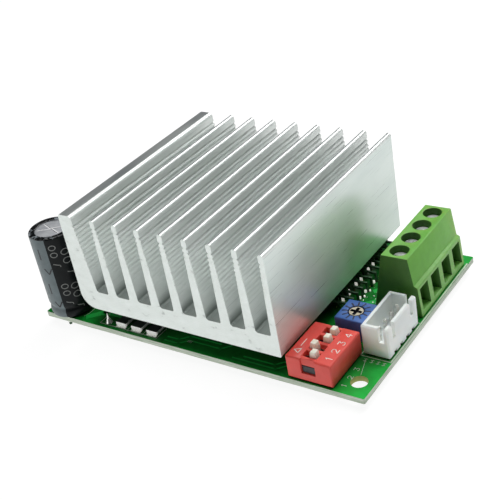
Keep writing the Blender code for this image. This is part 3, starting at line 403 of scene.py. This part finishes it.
# One groove between two ribs, as (share of the pitch, share of the depth).
GROOVE = ((0.0, 0.0), (0.18, 0.85), (0.26, 1.0), (0.36, 0.9), (0.62, 0.1), (0.70, 0.0))


def fin_side(top, root, outward):
    """One fin side from its tip down: a smooth band, then ribs that die away."""
    (top_x, top_z), (root_x, root_z) = top, root
    cuts = [(0.0, 0.0)]
    for rib in range(RIBS):
        depth = RIB_DEPTH * RIB_FADE**rib
        for share, sunk in GROOVE:
            cuts.append((RIB_BAND + (rib + share) * RIB_PITCH, depth * sunk))
    cuts.append((RIB_BAND + RIBS * RIB_PITCH, 0.0))
    length = math.hypot(root_x - top_x, root_z - top_z)
    points = []
    for down, sunk in cuts:
        share = down / length
        x = top_x + (root_x - top_x) * share - outward * sunk
        points.append((x, top_z + (root_z - top_z) * share))
    return points + [(root_x, root_z)]


def arc(centre, radius, start, end, steps):
    """Points on the section's round corners, between two angles in degrees."""
    turns = [math.radians(start + (end - start) * i / steps) for i in range(steps + 1)]
    return [(centre[0] + radius * math.cos(t), centre[1] + radius * math.sin(t)) for t in turns]


outline = arc((SINK_CORNER, SINK_CORNER), SINK_CORNER, 180, 270, 12)
outline += arc((SINK_WIDTH - FOOT_ROUND, FOOT_ROUND), FOOT_ROUND, 270, 360, 3)
for fin in range(FIN_COUNT):
    centre = SINK_WIDTH - FIN_TIP - fin * FIN_PITCH
    shoulder = SINK_HEIGHT - FIN_TIP
    if fin:
        root = (centre + FIN_TIP + DRAFT_RIGHT, SINK_BASE + 0.35)
        side = fin_side((centre + FIN_TIP, shoulder), root, 1)
        outline += [(root[0] + 0.4, SINK_BASE)] + side[::-1]
    outline += arc((centre, shoulder), FIN_TIP, 0, 180, 10)[bool(fin):]
    root = (centre - FIN_TIP - DRAFT_LEFT, SINK_BASE + 0.25)
    outline += fin_side((centre - FIN_TIP, shoulder), root, -1)[1:]
    outline += [(root[0] - 0.25, SINK_BASE)]
root = (THICK_ROOT, SINK_BASE + 0.35)
outline += [(root[0] + 0.4, SINK_BASE)]
outline += fin_side((THICK_TOP, SINK_HEIGHT - THICK_ROUND), root, 1)[::-1]
outline += arc((THICK_TOP - THICK_ROUND, SINK_HEIGHT - THICK_ROUND), THICK_ROUND, 0, 90, 10)[1:]
outline += arc((THICK_EDGE, SINK_HEIGHT - THICK_EDGE), THICK_EDGE, 90, 180, 6)


def extruded(name, metallic, roughness, dull, bright, dust_and_shade=0.0):
    """Drawn metal: fine streaks along the length, dull patches, and painted shade low in the channels."""
    made, tree, shader = start_material(name, metallic)
    streaks = noise(tree, 0.30, (1, 60, 1))
    patches = noise(tree, 5.0, (1, 4, 1))
    tone = ramp(tree, patches, (0.35, dull), (0.65, bright))
    hairs = noise(tree, 0.20, (1, 50, 1), 2.0)
    scratch = ramp(tree, hairs, (0.29, (0.76, 0.78, 0.78)), (0.38, (1, 1, 1)))
    lined = multiplied(tree, tone, scratch, 0.8)
    # Low in the channels the colour darkens towards the floor: painted shade.
    place = node(tree, "ShaderNodeTexCoord").outputs["Object"]
    height = node(tree, "ShaderNodeSeparateXYZ", Vector=place).outputs["Z"]
    floor_level = sink_low.z + SINK_BASE * MM
    channel_shade = spread(tree, height, dust_and_shade, 0.0, floor_level + 0.5 * MM, floor_level + 2.5 * MM)
    shaded_metal = multiplied(tree, lined, (0.30, 0.32, 0.31), channel_shade)
    tree.links.new(shaded_metal, shader.inputs["Base Color"])
    tree.links.new(spread(tree, streaks, roughness, roughness * 1.3), shader.inputs["Roughness"])
    relief(tree, shader, streaks, 0.012)
    return made


drawn = extruded("extruded_aluminium", 0.30, 0.34, (0.86, 0.91, 0.88), (0.94, 0.98, 0.96), 0.92)
outer = extruded("outer_aluminium", 0.40, 0.27, (0.77, 0.86, 0.83), (0.86, 0.94, 0.91))
# The flat tops of the fins get a darker copy of the aluminium: painted shade.
crown_in_shade = extruded("top_aluminium_painted_shade", 0.6, 0.32, (0.36, 0.39, 0.40), (0.56, 0.59, 0.58))

sawn, tree, shader = start_material("sawn_aluminium", 0.85)
teeth = noise(tree, 0.22, (3, 1, 1), 6.0)
stain = noise(tree, 1.6, (1.6, 1, 1))
smudge, cut_metal, clean = (0.50, 0.54, 0.52), (0.78, 0.83, 0.80), (0.87, 0.92, 0.90)
tone = ramp(tree, stain, (0.27, smudge), (0.37, cut_metal), (1.0, clean))
tree.links.new(tone, shader.inputs["Base Color"])
tree.links.new(spread(tree, teeth, 0.45, 0.7), shader.inputs["Roughness"])
relief(tree, shader, teeth, 0.03)

DRAWN, CUT, OUTER, SHADED_TOP = 0, 1, 2, 3
bm = bmesh.new()
rings = []
for y in (sink_low.y, sink_high.y):
    spots = [(sink_low.x + x * MM, y, sink_low.z + z * MM) for x, z in outline]
    rings.append([bm.verts.new(spot) for spot in spots])
for ring in rings:
    bm.faces.new(ring).material_index = CUT
for i in range(len(outline)):
    j = (i + 1) % len(outline)
    face = bm.faces.new((rings[0][i], rings[0][j], rings[1][j], rings[1][i]))
    outermost = all(outline[k][0] > SINK_WIDTH - 0.02 for k in (i, j))
    topmost = all(outline[k][1] > SINK_HEIGHT - 0.04 for k in (i, j))
    face.material_index = OUTER if outermost else SHADED_TOP if topmost else DRAWN
sink = piece("heat_sink_extrusion", bm, [drawn, sawn, outer, crown_in_shade], smooth=40)
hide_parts("heat_sink")

# ---- driver chip --------------------------------------------------------------------------------
# A power package of black epoxy, lying flat under the heat sink, with 25 tinned leads bent down
# in two rows. A grey thermal pad lies on its back, and two pan head screws clamp it to the sink.
epoxy = grained("chip_epoxy", (0.018, 0.018, 0.020), 0.55, 0.0, 0.12, 0.012, 0.2)
plating = grained("lead_plating", (0.72, 0.72, 0.70), 0.28, 1.0, 0.15, 0.004, 0.1)
pad_sheet = grained("pad_sheet", (0.33, 0.34, 0.36), 0.85, 0.0, 0.2, 0.02, 0.1)
steel = grained("plated_steel", (0.90, 0.91, 0.93), 0.3, 0.6, 0.2, 0.006, 0.12)
# The leads are dark green: painted shade, tinted by a painted reflection of the board.
lead_tin_in_shade = grained("lead_tin_painted_shade", (0.015, 0.07, 0.022), 0.5, 0.3, 0.15, 0.01, 0.3)


def ease(thing, width, segments=2):
    """Rounds a piece's sharp edges by that many millimetres."""
    bevel = thing.modifiers.new("ease", "BEVEL")
    bevel.width = width * MM
    bevel.segments = segments
    bevel.limit_method = "ANGLE"
    bevel.angle_limit = math.radians(40)


def finish_node(name, finish, bevel=0.0, segments=2, smooth=35):
    """Gives a CAD node its real finish and eases its edges by that many millimetres."""
    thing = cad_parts[name]
    thing.data.materials.clear()
    thing.data.materials.append(finish)
    weld = thing.modifiers.new("weld", "WELD")
    weld.merge_threshold = 0.002 * MM
    if bevel:
        ease(thing, bevel, segments)
    thing.data.shade_smooth()
    edge_split = thing.modifiers.new("edges", "EDGE_SPLIT")
    edge_split.split_angle = math.radians(smooth)
    return thing


finish_node("driver_chip", epoxy, 0.15)
finish_node("driver_chip_leads", lead_tin_in_shade, 0.04)
finish_node("thermal_pad", pad_sheet, 0.05)
for number in (1, 2):
    finish_node(f"sink_screw_{number}", steel, 0.08)

# ---- capacitor ----------------------------------------------------------------------------------
# A radial electrolytic capacitor: an aluminium can crimped on a rubber bung, in a shrunk plastic
# sleeve that folds over its top. A vent is pressed in the bare top. Two leads go into the board.
SLEEVE_RADIUS = 5.0

sleeve_black, tree, shader = start_material("sleeve_black", Specular_IOR_Level=0.16)
shade = ramp(tree, noise(tree, 2.0), (0.3, (0.004, 0.006, 0.006)), (0.7, (0.008, 0.011, 0.012)))
tree.links.new(shade, shader.inputs["Base Color"])
tree.links.new(spread(tree, noise(tree, 0.8), 0.30, 0.42), shader.inputs["Roughness"])
relief(tree, shader, noise(tree, 0.9, (1, 1, 2.5)), 0.08)
folded, tree, shader = start_material("sleeve_fold", Specular_IOR_Level=0.6)
creases_and_glints = noise(tree, 1.1, detail=3.0)
# Where the creases rise, the black turns grey: painted highlights on the folds.
shade = ramp(tree, creases_and_glints, (0.57, (0.004, 0.005, 0.006)), (0.68, (0.24, 0.27, 0.29)))
tree.links.new(shade, shader.inputs["Base Color"])
tree.links.new(spread(tree, creases_and_glints, 0.12, 0.3), shader.inputs["Roughness"])
relief(tree, shader, creases_and_glints, 0.35)
stripe_grey = grained("sleeve_stripe", (0.125, 0.165, 0.175), 0.42, 0.0, 0.9, 0.05, 0.12)

# The sleeve's wall as (radius, height): the crimp low down, the fold over the can at the top.
profile = [(4.55, 0.4), (4.85, 0.5), (4.95, 0.8), (5.0, 1.3), (4.98, 1.75), (4.86, 2.1), (4.68, 2.45)]
profile += [(4.65, 2.6), (4.68, 2.75), (4.86, 3.1), (4.98, 3.45), (5.0, 3.8), (5.0, 12.0), (5.0, 20.0)]
profile += [(4.97, 20.2), (4.88, 20.35), (4.75, 20.45), (4.6, 20.5), (4.2, 20.47), (3.8, 20.42)]
profile += [(3.6, 20.36), (3.56, 20.3), (3.9, 20.3)]
FIRST_FOLD = 14  # the wall turns over the can from this point of the profile on
STRIPE_START, STRIPE_END = -146, -66
SIDES = 120
BLACK, STRIPE, FOLD = 0, 1, 2
bm = bmesh.new()
rings = []
for radius, height in profile:
    spots = ring_points(can_x, can_y, radius, 0, 360, SIDES)[:-1]
    rings.append([bm.verts.new(on_board(a, b, height)) for a, b in spots])
for level, (lower, upper) in enumerate(zip(rings, rings[1:])):
    for i in range(SIDES):
        j = (i + 1) % SIDES
        face = bm.faces.new((lower[i], lower[j], upper[j], upper[i]))
        turn = (i + 0.5) * 360 / SIDES - 360
        in_stripe = STRIPE_START < turn < STRIPE_END or STRIPE_START < turn + 360 < STRIPE_END
        face.material_index = FOLD if level >= FIRST_FOLD else STRIPE if in_stripe else BLACK
bm.faces.new(rings[0])
sleeve = piece("shrunk_sleeve", bm, [sleeve_black, stripe_grey, folded], smooth=50)
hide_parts("capacitor_sleeve")

can_metal, tree, shader = start_material("can_aluminium", 0.6)
brushed = noise(tree, 0.2)
tone = ramp(tree, noise(tree, 1.5), (0.3, (0.62, 0.64, 0.68)), (0.7, (0.78, 0.80, 0.83)))
tree.links.new(tone, shader.inputs["Base Color"])
tree.links.new(spread(tree, brushed, 0.3, 0.5), shader.inputs["Roughness"])
relief(tree, shader, brushed, 0.006)
finish_node("capacitor_can", can_metal)
VENT_TOP = 20.24
LID_RADIUS = 3.5
lid_edge = [(0, 20.12), (LID_RADIUS, 20.12), (LID_RADIUS, 20.2), (LID_RADIUS - 0.2, VENT_TOP)]
bm = bmesh.new()
turned(bm, can_x, can_y, lid_edge + [(0.0, VENT_TOP)], 64)
piece("can_top", bm, can_metal, smooth=30)
# The scored lines are dark grey: painted shade in the pressed grooves.
score_shade = grained("vent_score_painted_shade", (0.24, 0.25, 0.27), 0.45, 1.0, 0.2, 0.01, 0.1)
# The ridges beside them are white: painted highlights on the pressed edges.
vent_highlight = grained("vent_edge_painted_highlight", (1.0, 1.0, 1.0), 0.5, 0.0, 0.2, 0.01, 0.03)
VENT_TURNS = (-20, 33, 160, 213)
SCORE_REACH, SCORE_WIDTH = 2.9, 0.12
RIDGE_REACH, RIDGE_WIDTH, RIDGE_ASIDE = 2.85, 0.2, 0.17
bm = bmesh.new()
for turn in VENT_TURNS:
    angle = math.radians(turn)
    far = (can_x + SCORE_REACH * math.cos(angle), can_y + SCORE_REACH * math.sin(angle))
    line(bm, [(can_x, can_y), far], SCORE_WIDTH, VENT_TOP - 0.02, VENT_TOP + 0.012)
piece("vent_scores", bm, score_shade)
bm = bmesh.new()
for turn in VENT_TURNS:
    angle = math.radians(turn)
    side = Vector((-math.sin(angle), math.cos(angle))) * RIDGE_ASIDE
    near = Vector((can_x, can_y)) + side
    far = near + Vector((math.cos(angle), math.sin(angle))) * RIDGE_REACH
    line(bm, [tuple(near), tuple(far)], RIDGE_WIDTH, VENT_TOP - 0.02, VENT_TOP + 0.03)
piece("vent_ridges", bm, vent_highlight)


def on_sleeve(bm, spots, width):
    """A printed stroke round the sleeve through (turn in degrees, height in millimetres) spots."""
    across = SLEEVE_RADIUS * math.pi / 180
    steps = 6
    for (turn, height), (next_turn, next_height) in zip(spots, spots[1:]):
        way = Vector(((next_turn - turn) * across, next_height - height))
        side = Vector((-way.y, way.x)).normalized() * width / 2
        rings = []
        for step in range(steps + 1):
            middle = Vector((turn * across, height)) + way * step / steps
            ring = []
            for share, radius in ((1, 0.02), (-1, 0.02), (-1, -0.05), (1, -0.05)):
                flat = middle + side * share
                angle = flat.x / SLEEVE_RADIUS
                reach = SLEEVE_RADIUS + radius
                spot = (can_x + reach * math.cos(angle), can_y + reach * math.sin(angle))
                ring.append(bm.verts.new(on_board(*spot, flat.y)))
            rings.append(ring)
        bm.faces.new(rings[0])
        bm.faces.new(rings[-1][::-1])
        for lower, upper in zip(rings, rings[1:]):
            for i in range(4):
                j = (i + 1) % 4
                bm.faces.new((lower[i], lower[j], upper[j], upper[i]))


stripe_ink = grained("stripe_ink", (0.012, 0.014, 0.018), 0.4, 0.0, 0.2, 0.003, 0.1)
sleeve_ink = grained("sleeve_ink", (0.20, 0.21, 0.20), 0.5, 0.0, 0.2, 0.003, 0.1)
BAR_TURN, BAR_HALF = -90, 1.3
BAR_INK, ZIGZAG_INK = 0.32, 0.3
bm = bmesh.new()
for height in (16.6, 7.9):
    on_sleeve(bm, [(BAR_TURN, height - BAR_HALF), (BAR_TURN, height + BAR_HALF)], BAR_INK)
for height in (12.4, 3.9):
    zigzag = [(-88, height + 0.7), (-77, height - 0.6), (-67, height + 0.8)]
    on_sleeve(bm, zigzag, ZIGZAG_INK)
piece("stripe_marks", bm, stripe_ink)
# Four groups of two rings and a stroke, each lying on its side: (turn, height, size).
MARKS = ((-51, 18.2, 1.0), (-48, 8.5, 1.0), (-23, 16.6, 1.2), (-23, 8.0, 1.2))
MARK_INK = 0.2
RING_TURN, RING_HEIGHT, RING_GAP = 8.5, 0.58, 1.75
bm = bmesh.new()
for turn, height, size in MARKS:
    for middle in (height, height - RING_GAP * size):
        ring = ring_points(0, 0, 1, 0, 360, 10)
        spots = [(turn + RING_TURN * a * size, middle + RING_HEIGHT * b * size) for a, b in ring]
        on_sleeve(bm, spots, MARK_INK)
    foot = height - 4.4 * size
    on_sleeve(bm, [(turn - 8, foot + 0.5), (turn + 8, foot), (turn + 8, foot - 0.4)], MARK_INK)
piece("sleeve_marks", bm, sleeve_ink)

rubber = grained("bung_rubber", (0.02, 0.02, 0.021), 0.75, 0.0, 0.15, 0.01, 0.15)
foil = grained("wound_foil", (0.55, 0.50, 0.40), 0.55, 0.0, 0.1, 0.02, 0.15)
finish_node("capacitor_bung", rubber, 0.1)
finish_node("capacitor_roll", foil)
for sign in ("minus", "plus"):
    finish_node(f"capacitor_lead_{sign}", lead_tin_in_shade)

# ---- current-sense resistors --------------------------------------------------------------------
# Three ceramic chip resistors with black glazed tops and bright tinned ends, soldered flat to
# copper lands at the board's front edge. A pointed blob of solder stands beside the first.
glaze = grained("resistor_glaze", (0.016, 0.016, 0.018), 0.35, 0.0, 0.15, 0.006, 0.15)
ceramic = grained("resistor_ceramic", (0.72, 0.72, 0.70), 0.6, 0.0, 0.1, 0.006, 0.05)
end_colour = (0.97, 0.98, 0.95)
# The tinned ends glow a little: a painted highlight.
glowing_end_tin = grained("end_tin_painted_highlight", end_colour, 0.4, 0.1, 0.15, 0.006, 0.03, Emission_Strength=0.25)
glowing_end_tin.node_tree.nodes["Principled BSDF"].inputs["Emission Color"].default_value = (1, 1, 0.96, 1)
END_CAP, END_LIP = 0.5, 0.16
GLAZE_DEPTH, CAP_STEP = 0.14, 0.16
BODY_INSET = 0.04
LAND_TOP = 0.12
for number in range(1, 4):
    low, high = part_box(f"sense_resistor_{number}")
    corner = (low - on_board(0, 0)) / MM
    far = (high - on_board(0, 0)) / MM
    bm = bmesh.new()
    left, right, front, back, under, top = corner.x, far.x, corner.y, far.y, corner.z, far.z
    body_left, body_right = left + BODY_INSET, right - BODY_INSET
    core = (END_CAP, under + 0.03, top - GLAZE_DEPTH, 1)
    glazed = (END_LIP, top - GLAZE_DEPTH, top - 0.02, 0)
    for inset, bottom, lid, index in (core, glazed):
        body = [(body_left, front + inset), (body_right, front + inset)]
        body += [(body_right, back - inset), (body_left, back - inset)]
        prism(bm, body, bottom, lid, index)
    piece(f"resistor_body_{number}", bm, [glaze, ceramic])
    bm = bmesh.new()
    front_lip, back_lip = front + END_LIP - 0.02, back - END_LIP + 0.02
    steps = [(front, front_lip, top), (front_lip, front + END_CAP, top - CAP_STEP)]
    steps += [(back - END_CAP, back_lip, top - CAP_STEP), (back_lip, back, top)]
    for start, end, lid in steps:
        prism(bm, [(left, start), (right, start), (right, end), (left, end)], under, lid)
    caps = piece(f"resistor_ends_{number}", bm, glowing_end_tin)
    ease(caps, 0.05)
    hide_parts(f"sense_resistor_{number}")
    bm = bmesh.new()
    for start, end in ((front - 0.35, front + 0.2), (back - 0.2, back + 0.3)):
        land = [(left - 0.05, start), (right + 0.05, start), (right + 0.05, end), (left - 0.05, end)]
        prism(bm, land, 0, LAND_TOP)
    lands = piece(f"resistor_lands_{number}", bm, tin)
    ease(lands, 0.08)
PEAK_X, PEAK_Y = 17.0, 2.0
bm = bmesh.new()
peak = [(0, 0), (0.85, 0), (0.75, 0.2), (0.5, 0.6), (0.3, 1.2), (0.16, 1.9), (0.05, 2.35), (0, 2.4)]
turned(bm, PEAK_X, PEAK_Y, peak, 20)
piece("solder_peak", bm, tin, smooth=60)

# ---- slide switch -------------------------------------------------------------------------------
# A four-way slide switch: a red snap-on cover over a dark base, whose tabs show in the recess at
# each end, and four ivory sliders. White numbers are printed beside them. Its pins are soldered.
red = grained("switch_red", (0.80, 0.076, 0.058), 0.42, 0.0, 0.18, 0.008, 0.05, Subsurface_Weight=0.04)
dark = grained("switch_dark", (0.035, 0.038, 0.042), 0.5, 0.0, 0.15, 0.01, 0.1)
ivory = grained("slider_ivory", (0.93, 0.89, 0.74), 0.45, 0.0, 0.15, 0.008, 0.05, Subsurface_Weight=0.1)
finish_node("switch_cover", red, 0.06)
finish_node("switch_base", dark, 0.05)
for way in range(1, 5):
    finish_node(f"switch_slider_{way}", ivory, 0.16, 4)
    for side in ("left", "right"):
        finish_node(f"switch_pin_{side}_{way}", plating, 0.03)
print_white = grained("switch_print", (0.88, 0.86, 0.80), 0.5, 0.0, 0.1, 0.003, 0.06)
NUMBER_LINE = 72.75  # where the numbers stand, with their heads to the left
NUMBER_HEIGHT, NUMBER_WIDTH, STROKE = 1.35, 1.25, 0.15
cover_top = board_spot("switch_cover")[3]
sunk, proud = cover_top - 0.01, cover_top + 0.015
bm = bmesh.new()
for way, strokes in enumerate(DIGITS, 1):
    y = board_spot(f"switch_pin_left_{way}")[1]
    start = y - 0.5
    number = [(NUMBER_LINE - NUMBER_HEIGHT * up, start + NUMBER_WIDTH * across) for across, up in strokes]
    line(bm, number, STROKE, sunk, proud)
line(bm, [(65.7, 1.9), (64.5, 2.6), (65.7, 3.3), (65.7, 1.9)], STROKE, sunk, proud)
line(bm, [(65.1, 4.1), (65.1, 6.2)], STROKE, sunk, proud)
piece("switch_numbers", bm, print_white)

# ---- plug header --------------------------------------------------------------------------------
# A four-pin header moulded in white nylon, open at the top, with slots that key its plug and
# notches along its foot. Its square tinned pins are pressed through the floor.
nylon = grained("header_nylon", (0.93, 0.96, 0.93), 0.42, 0.0, 0.3, 0.008, 0.02, Subsurface_Weight=0.15)
finish_node("header_housing", nylon, 0.08, 3)
for pin in range(1, 5):
    finish_node(f"header_pin_{pin}", plating, 0.04)

# ---- screw terminals ----------------------------------------------------------------------------
# Two rising-clamp terminal blocks in green nylon. Under each slotted screw a plated steel cage
# lifts against a tinned blade, and the blade's foot is soldered into the board.
nylon_green = (0.165, 0.47, 0.070)
green = grained("terminal_green", nylon_green, 0.42, 0.0, 0.25, 0.010, 0.05, Subsurface_Weight=0.05)
# The end faces and the walls of the screw wells get a darker green: painted shade.
green_in_shade = grained("terminal_green_painted_shade", (0.045, 0.160, 0.016), 0.5, 0.0, 0.25, 0.010, 0.08)
WELL_FROM, WELL_INSET = 10, 1.5  # the wells' walls lie above and inside these
for block, ways in (("output", 4), ("power", 2)):
    housing = finish_node(f"{block}_housing", green, 0.1, 3)
    housing.data.materials.append(green_in_shade)
    low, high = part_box(f"{block}_housing")
    for polygon in housing.data.polygons:
        spot = housing.matrix_world @ polygon.center
        depth = min(spot.x - low.x, high.x - spot.x, spot.y - low.y, spot.z - low.z)
        high_up = depth > WELL_INSET * MM and spot.z > low.z + WELL_FROM * MM
        in_well = polygon.normal.z == 0 and high_up
        polygon.material_index = 1 if abs(polygon.normal.y) > 0.99 or in_well else 0
    for way in range(1, ways + 1):
        finish_node(f"{block}_screw_{way}", steel, 0.05)
        finish_node(f"{block}_cage_{way}", steel)
        finish_node(f"{block}_blade_{way}", plating, 0.04)

# ---- trimmer ------------------------------------------------------------------------------------
# A single-turn trimming potentiometer: a blue moulded body on three pins, with ticks printed
# round a cream rotor that has a cross slot for a screwdriver.
blue = grained("trimmer_blue", (0.060, 0.160, 0.48), 0.4, 0.0, 0.2, 0.008, 0.06)
cream = grained("rotor_cream", (0.62, 0.56, 0.42), 0.5, 0.0, 0.15, 0.008, 0.08)
finish_node("trimmer_body", blue, 0.06)
rotor = finish_node("trimmer_rotor", cream, 0.06)
# Every rotor face below its top, the cross slot's walls among them, is near black: painted shade.
slot_shade = grained("rotor_slot_painted_shade", (0.010, 0.012, 0.020), 0.6, 0.0, 0.15, 0.008, 0.1)
rotor.data.materials.append(slot_shade)
rotor_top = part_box("trimmer_rotor")[1].z
for polygon in rotor.data.polygons:
    height = (rotor.matrix_world @ polygon.center).z
    polygon.material_index = 1 if height < rotor_top - 0.05 * MM else 0
for pin in range(1, 4):
    finish_node(f"trimmer_pin_{pin}", plating, 0.03)
trim_x, trim_y, _, trim_top = board_spot("trimmer_body")
tick_ink = grained("tick_ink", (0.012, 0.016, 0.05), 0.5, 0.0, 0.1, 0.003, 0.1)
TICKS, TICK_START, TICK_END, TICK_WIDTH = 12, 1.85, 2.75, 0.34
bm = bmesh.new()
for tick in range(TICKS):
    angle = math.radians(tick * 360 / TICKS + 15)
    near = (trim_x + TICK_START * math.cos(angle), trim_y + TICK_START * math.sin(angle))
    far = (trim_x + TICK_END * math.cos(angle), trim_y + TICK_END * math.sin(angle))
    line(bm, [near, far], TICK_WIDTH, trim_top - 0.01, trim_top + 0.015)
piece("trimmer_ticks", bm, tick_ink)

# ---- floor, camera and light --------------------------------------------------------------------
# A plain white table in a light tent: soft lights overhead and behind, a weaker one in front, and
# a camera that looks down from the front right.
floor_white, tree, shader = start_material("table_white", Emission_Strength=0.92)
shader.inputs["Emission Color"].default_value = (1, 1, 1, 1)
wear = noise(tree, 40.0)
tone = ramp(tree, wear, (0.3, (0.12, 0.12, 0.12)), (0.7, (0.14, 0.14, 0.14)))
tree.links.new(tone, shader.inputs["Base Color"])
tree.links.new(spread(tree, wear, 0.6, 0.7), shader.inputs["Roughness"])
bpy.ops.mesh.primitive_plane_add(size=40.0, location=(0, 0, -0.02 * MM))
floor = bpy.context.object
floor.name = "table"
floor.data.materials.append(floor_white)
floor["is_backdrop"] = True

world = bpy.data.worlds.new("tent")
bpy.context.scene.world = world
world.use_nodes = True
tree = world.node_tree
heading = node(tree, "ShaderNodeTexCoord").outputs["Generated"]
parts = node(tree, "ShaderNodeSeparateXYZ", Vector=heading).outputs
rise = spread(tree, parts["Z"], 0.25, 0.75, 0.0, 0.8)
back = spread(tree, parts["Y"], 0.35, 1.15, -0.6, 0.6)
glow = node(tree, "ShaderNodeMath", {"operation": "MULTIPLY"})
tree.links.new(rise, glow.inputs[0])
tree.links.new(back, glow.inputs[1])
tree.links.new(glow.outputs[0], tree.nodes["Background"].inputs["Strength"])


def soft_light(name, place, aim, size, power):
    """A round soft light at a place in metres, turned to its aim."""
    lamp = bpy.data.lights.new(name, "AREA")
    lamp.shape = "DISK"
    lamp.size = size
    lamp.energy = power
    thing = bpy.data.objects.new(name, lamp)
    bpy.context.scene.collection.objects.link(thing)
    thing.location = place
    thing.rotation_euler = (Vector(aim) - Vector(place)).to_track_quat("-Z", "Y").to_euler()


soft_light("overhead", (-0.02, 0.05, 0.55), (0, 0, 0.01), 0.45, 1.6)
soft_light("back_top", (0.08, 0.42, 0.42), (0, 0, 0.02), 0.40, 2.1)
soft_light("front_fill", (-0.25, -0.50, 0.16), (0, 0, 0.01), 0.40, 0.55)

lens = bpy.data.cameras.new("camera")
lens.lens = 72.08
lens.sensor_width = 36.0
lens.clip_start = 0.01
camera = bpy.data.objects.new("camera", lens)
bpy.context.scene.collection.objects.link(camera)
turn = Matrix.Rotation(math.radians(39.09), 4, "Z")
tilt = Matrix.Rotation(math.radians(90 - 30.55), 4, "X")
roll = Matrix.Rotation(math.radians(-11.07), 4, "Z")
camera.matrix_world = Matrix.Translation((0.11642, -0.14223, 0.12063)) @ turn @ tilt @ roll
bpy.context.scene.camera = camera
bpy.context.scene.view_settings.view_transform = "Standard"

low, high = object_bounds()
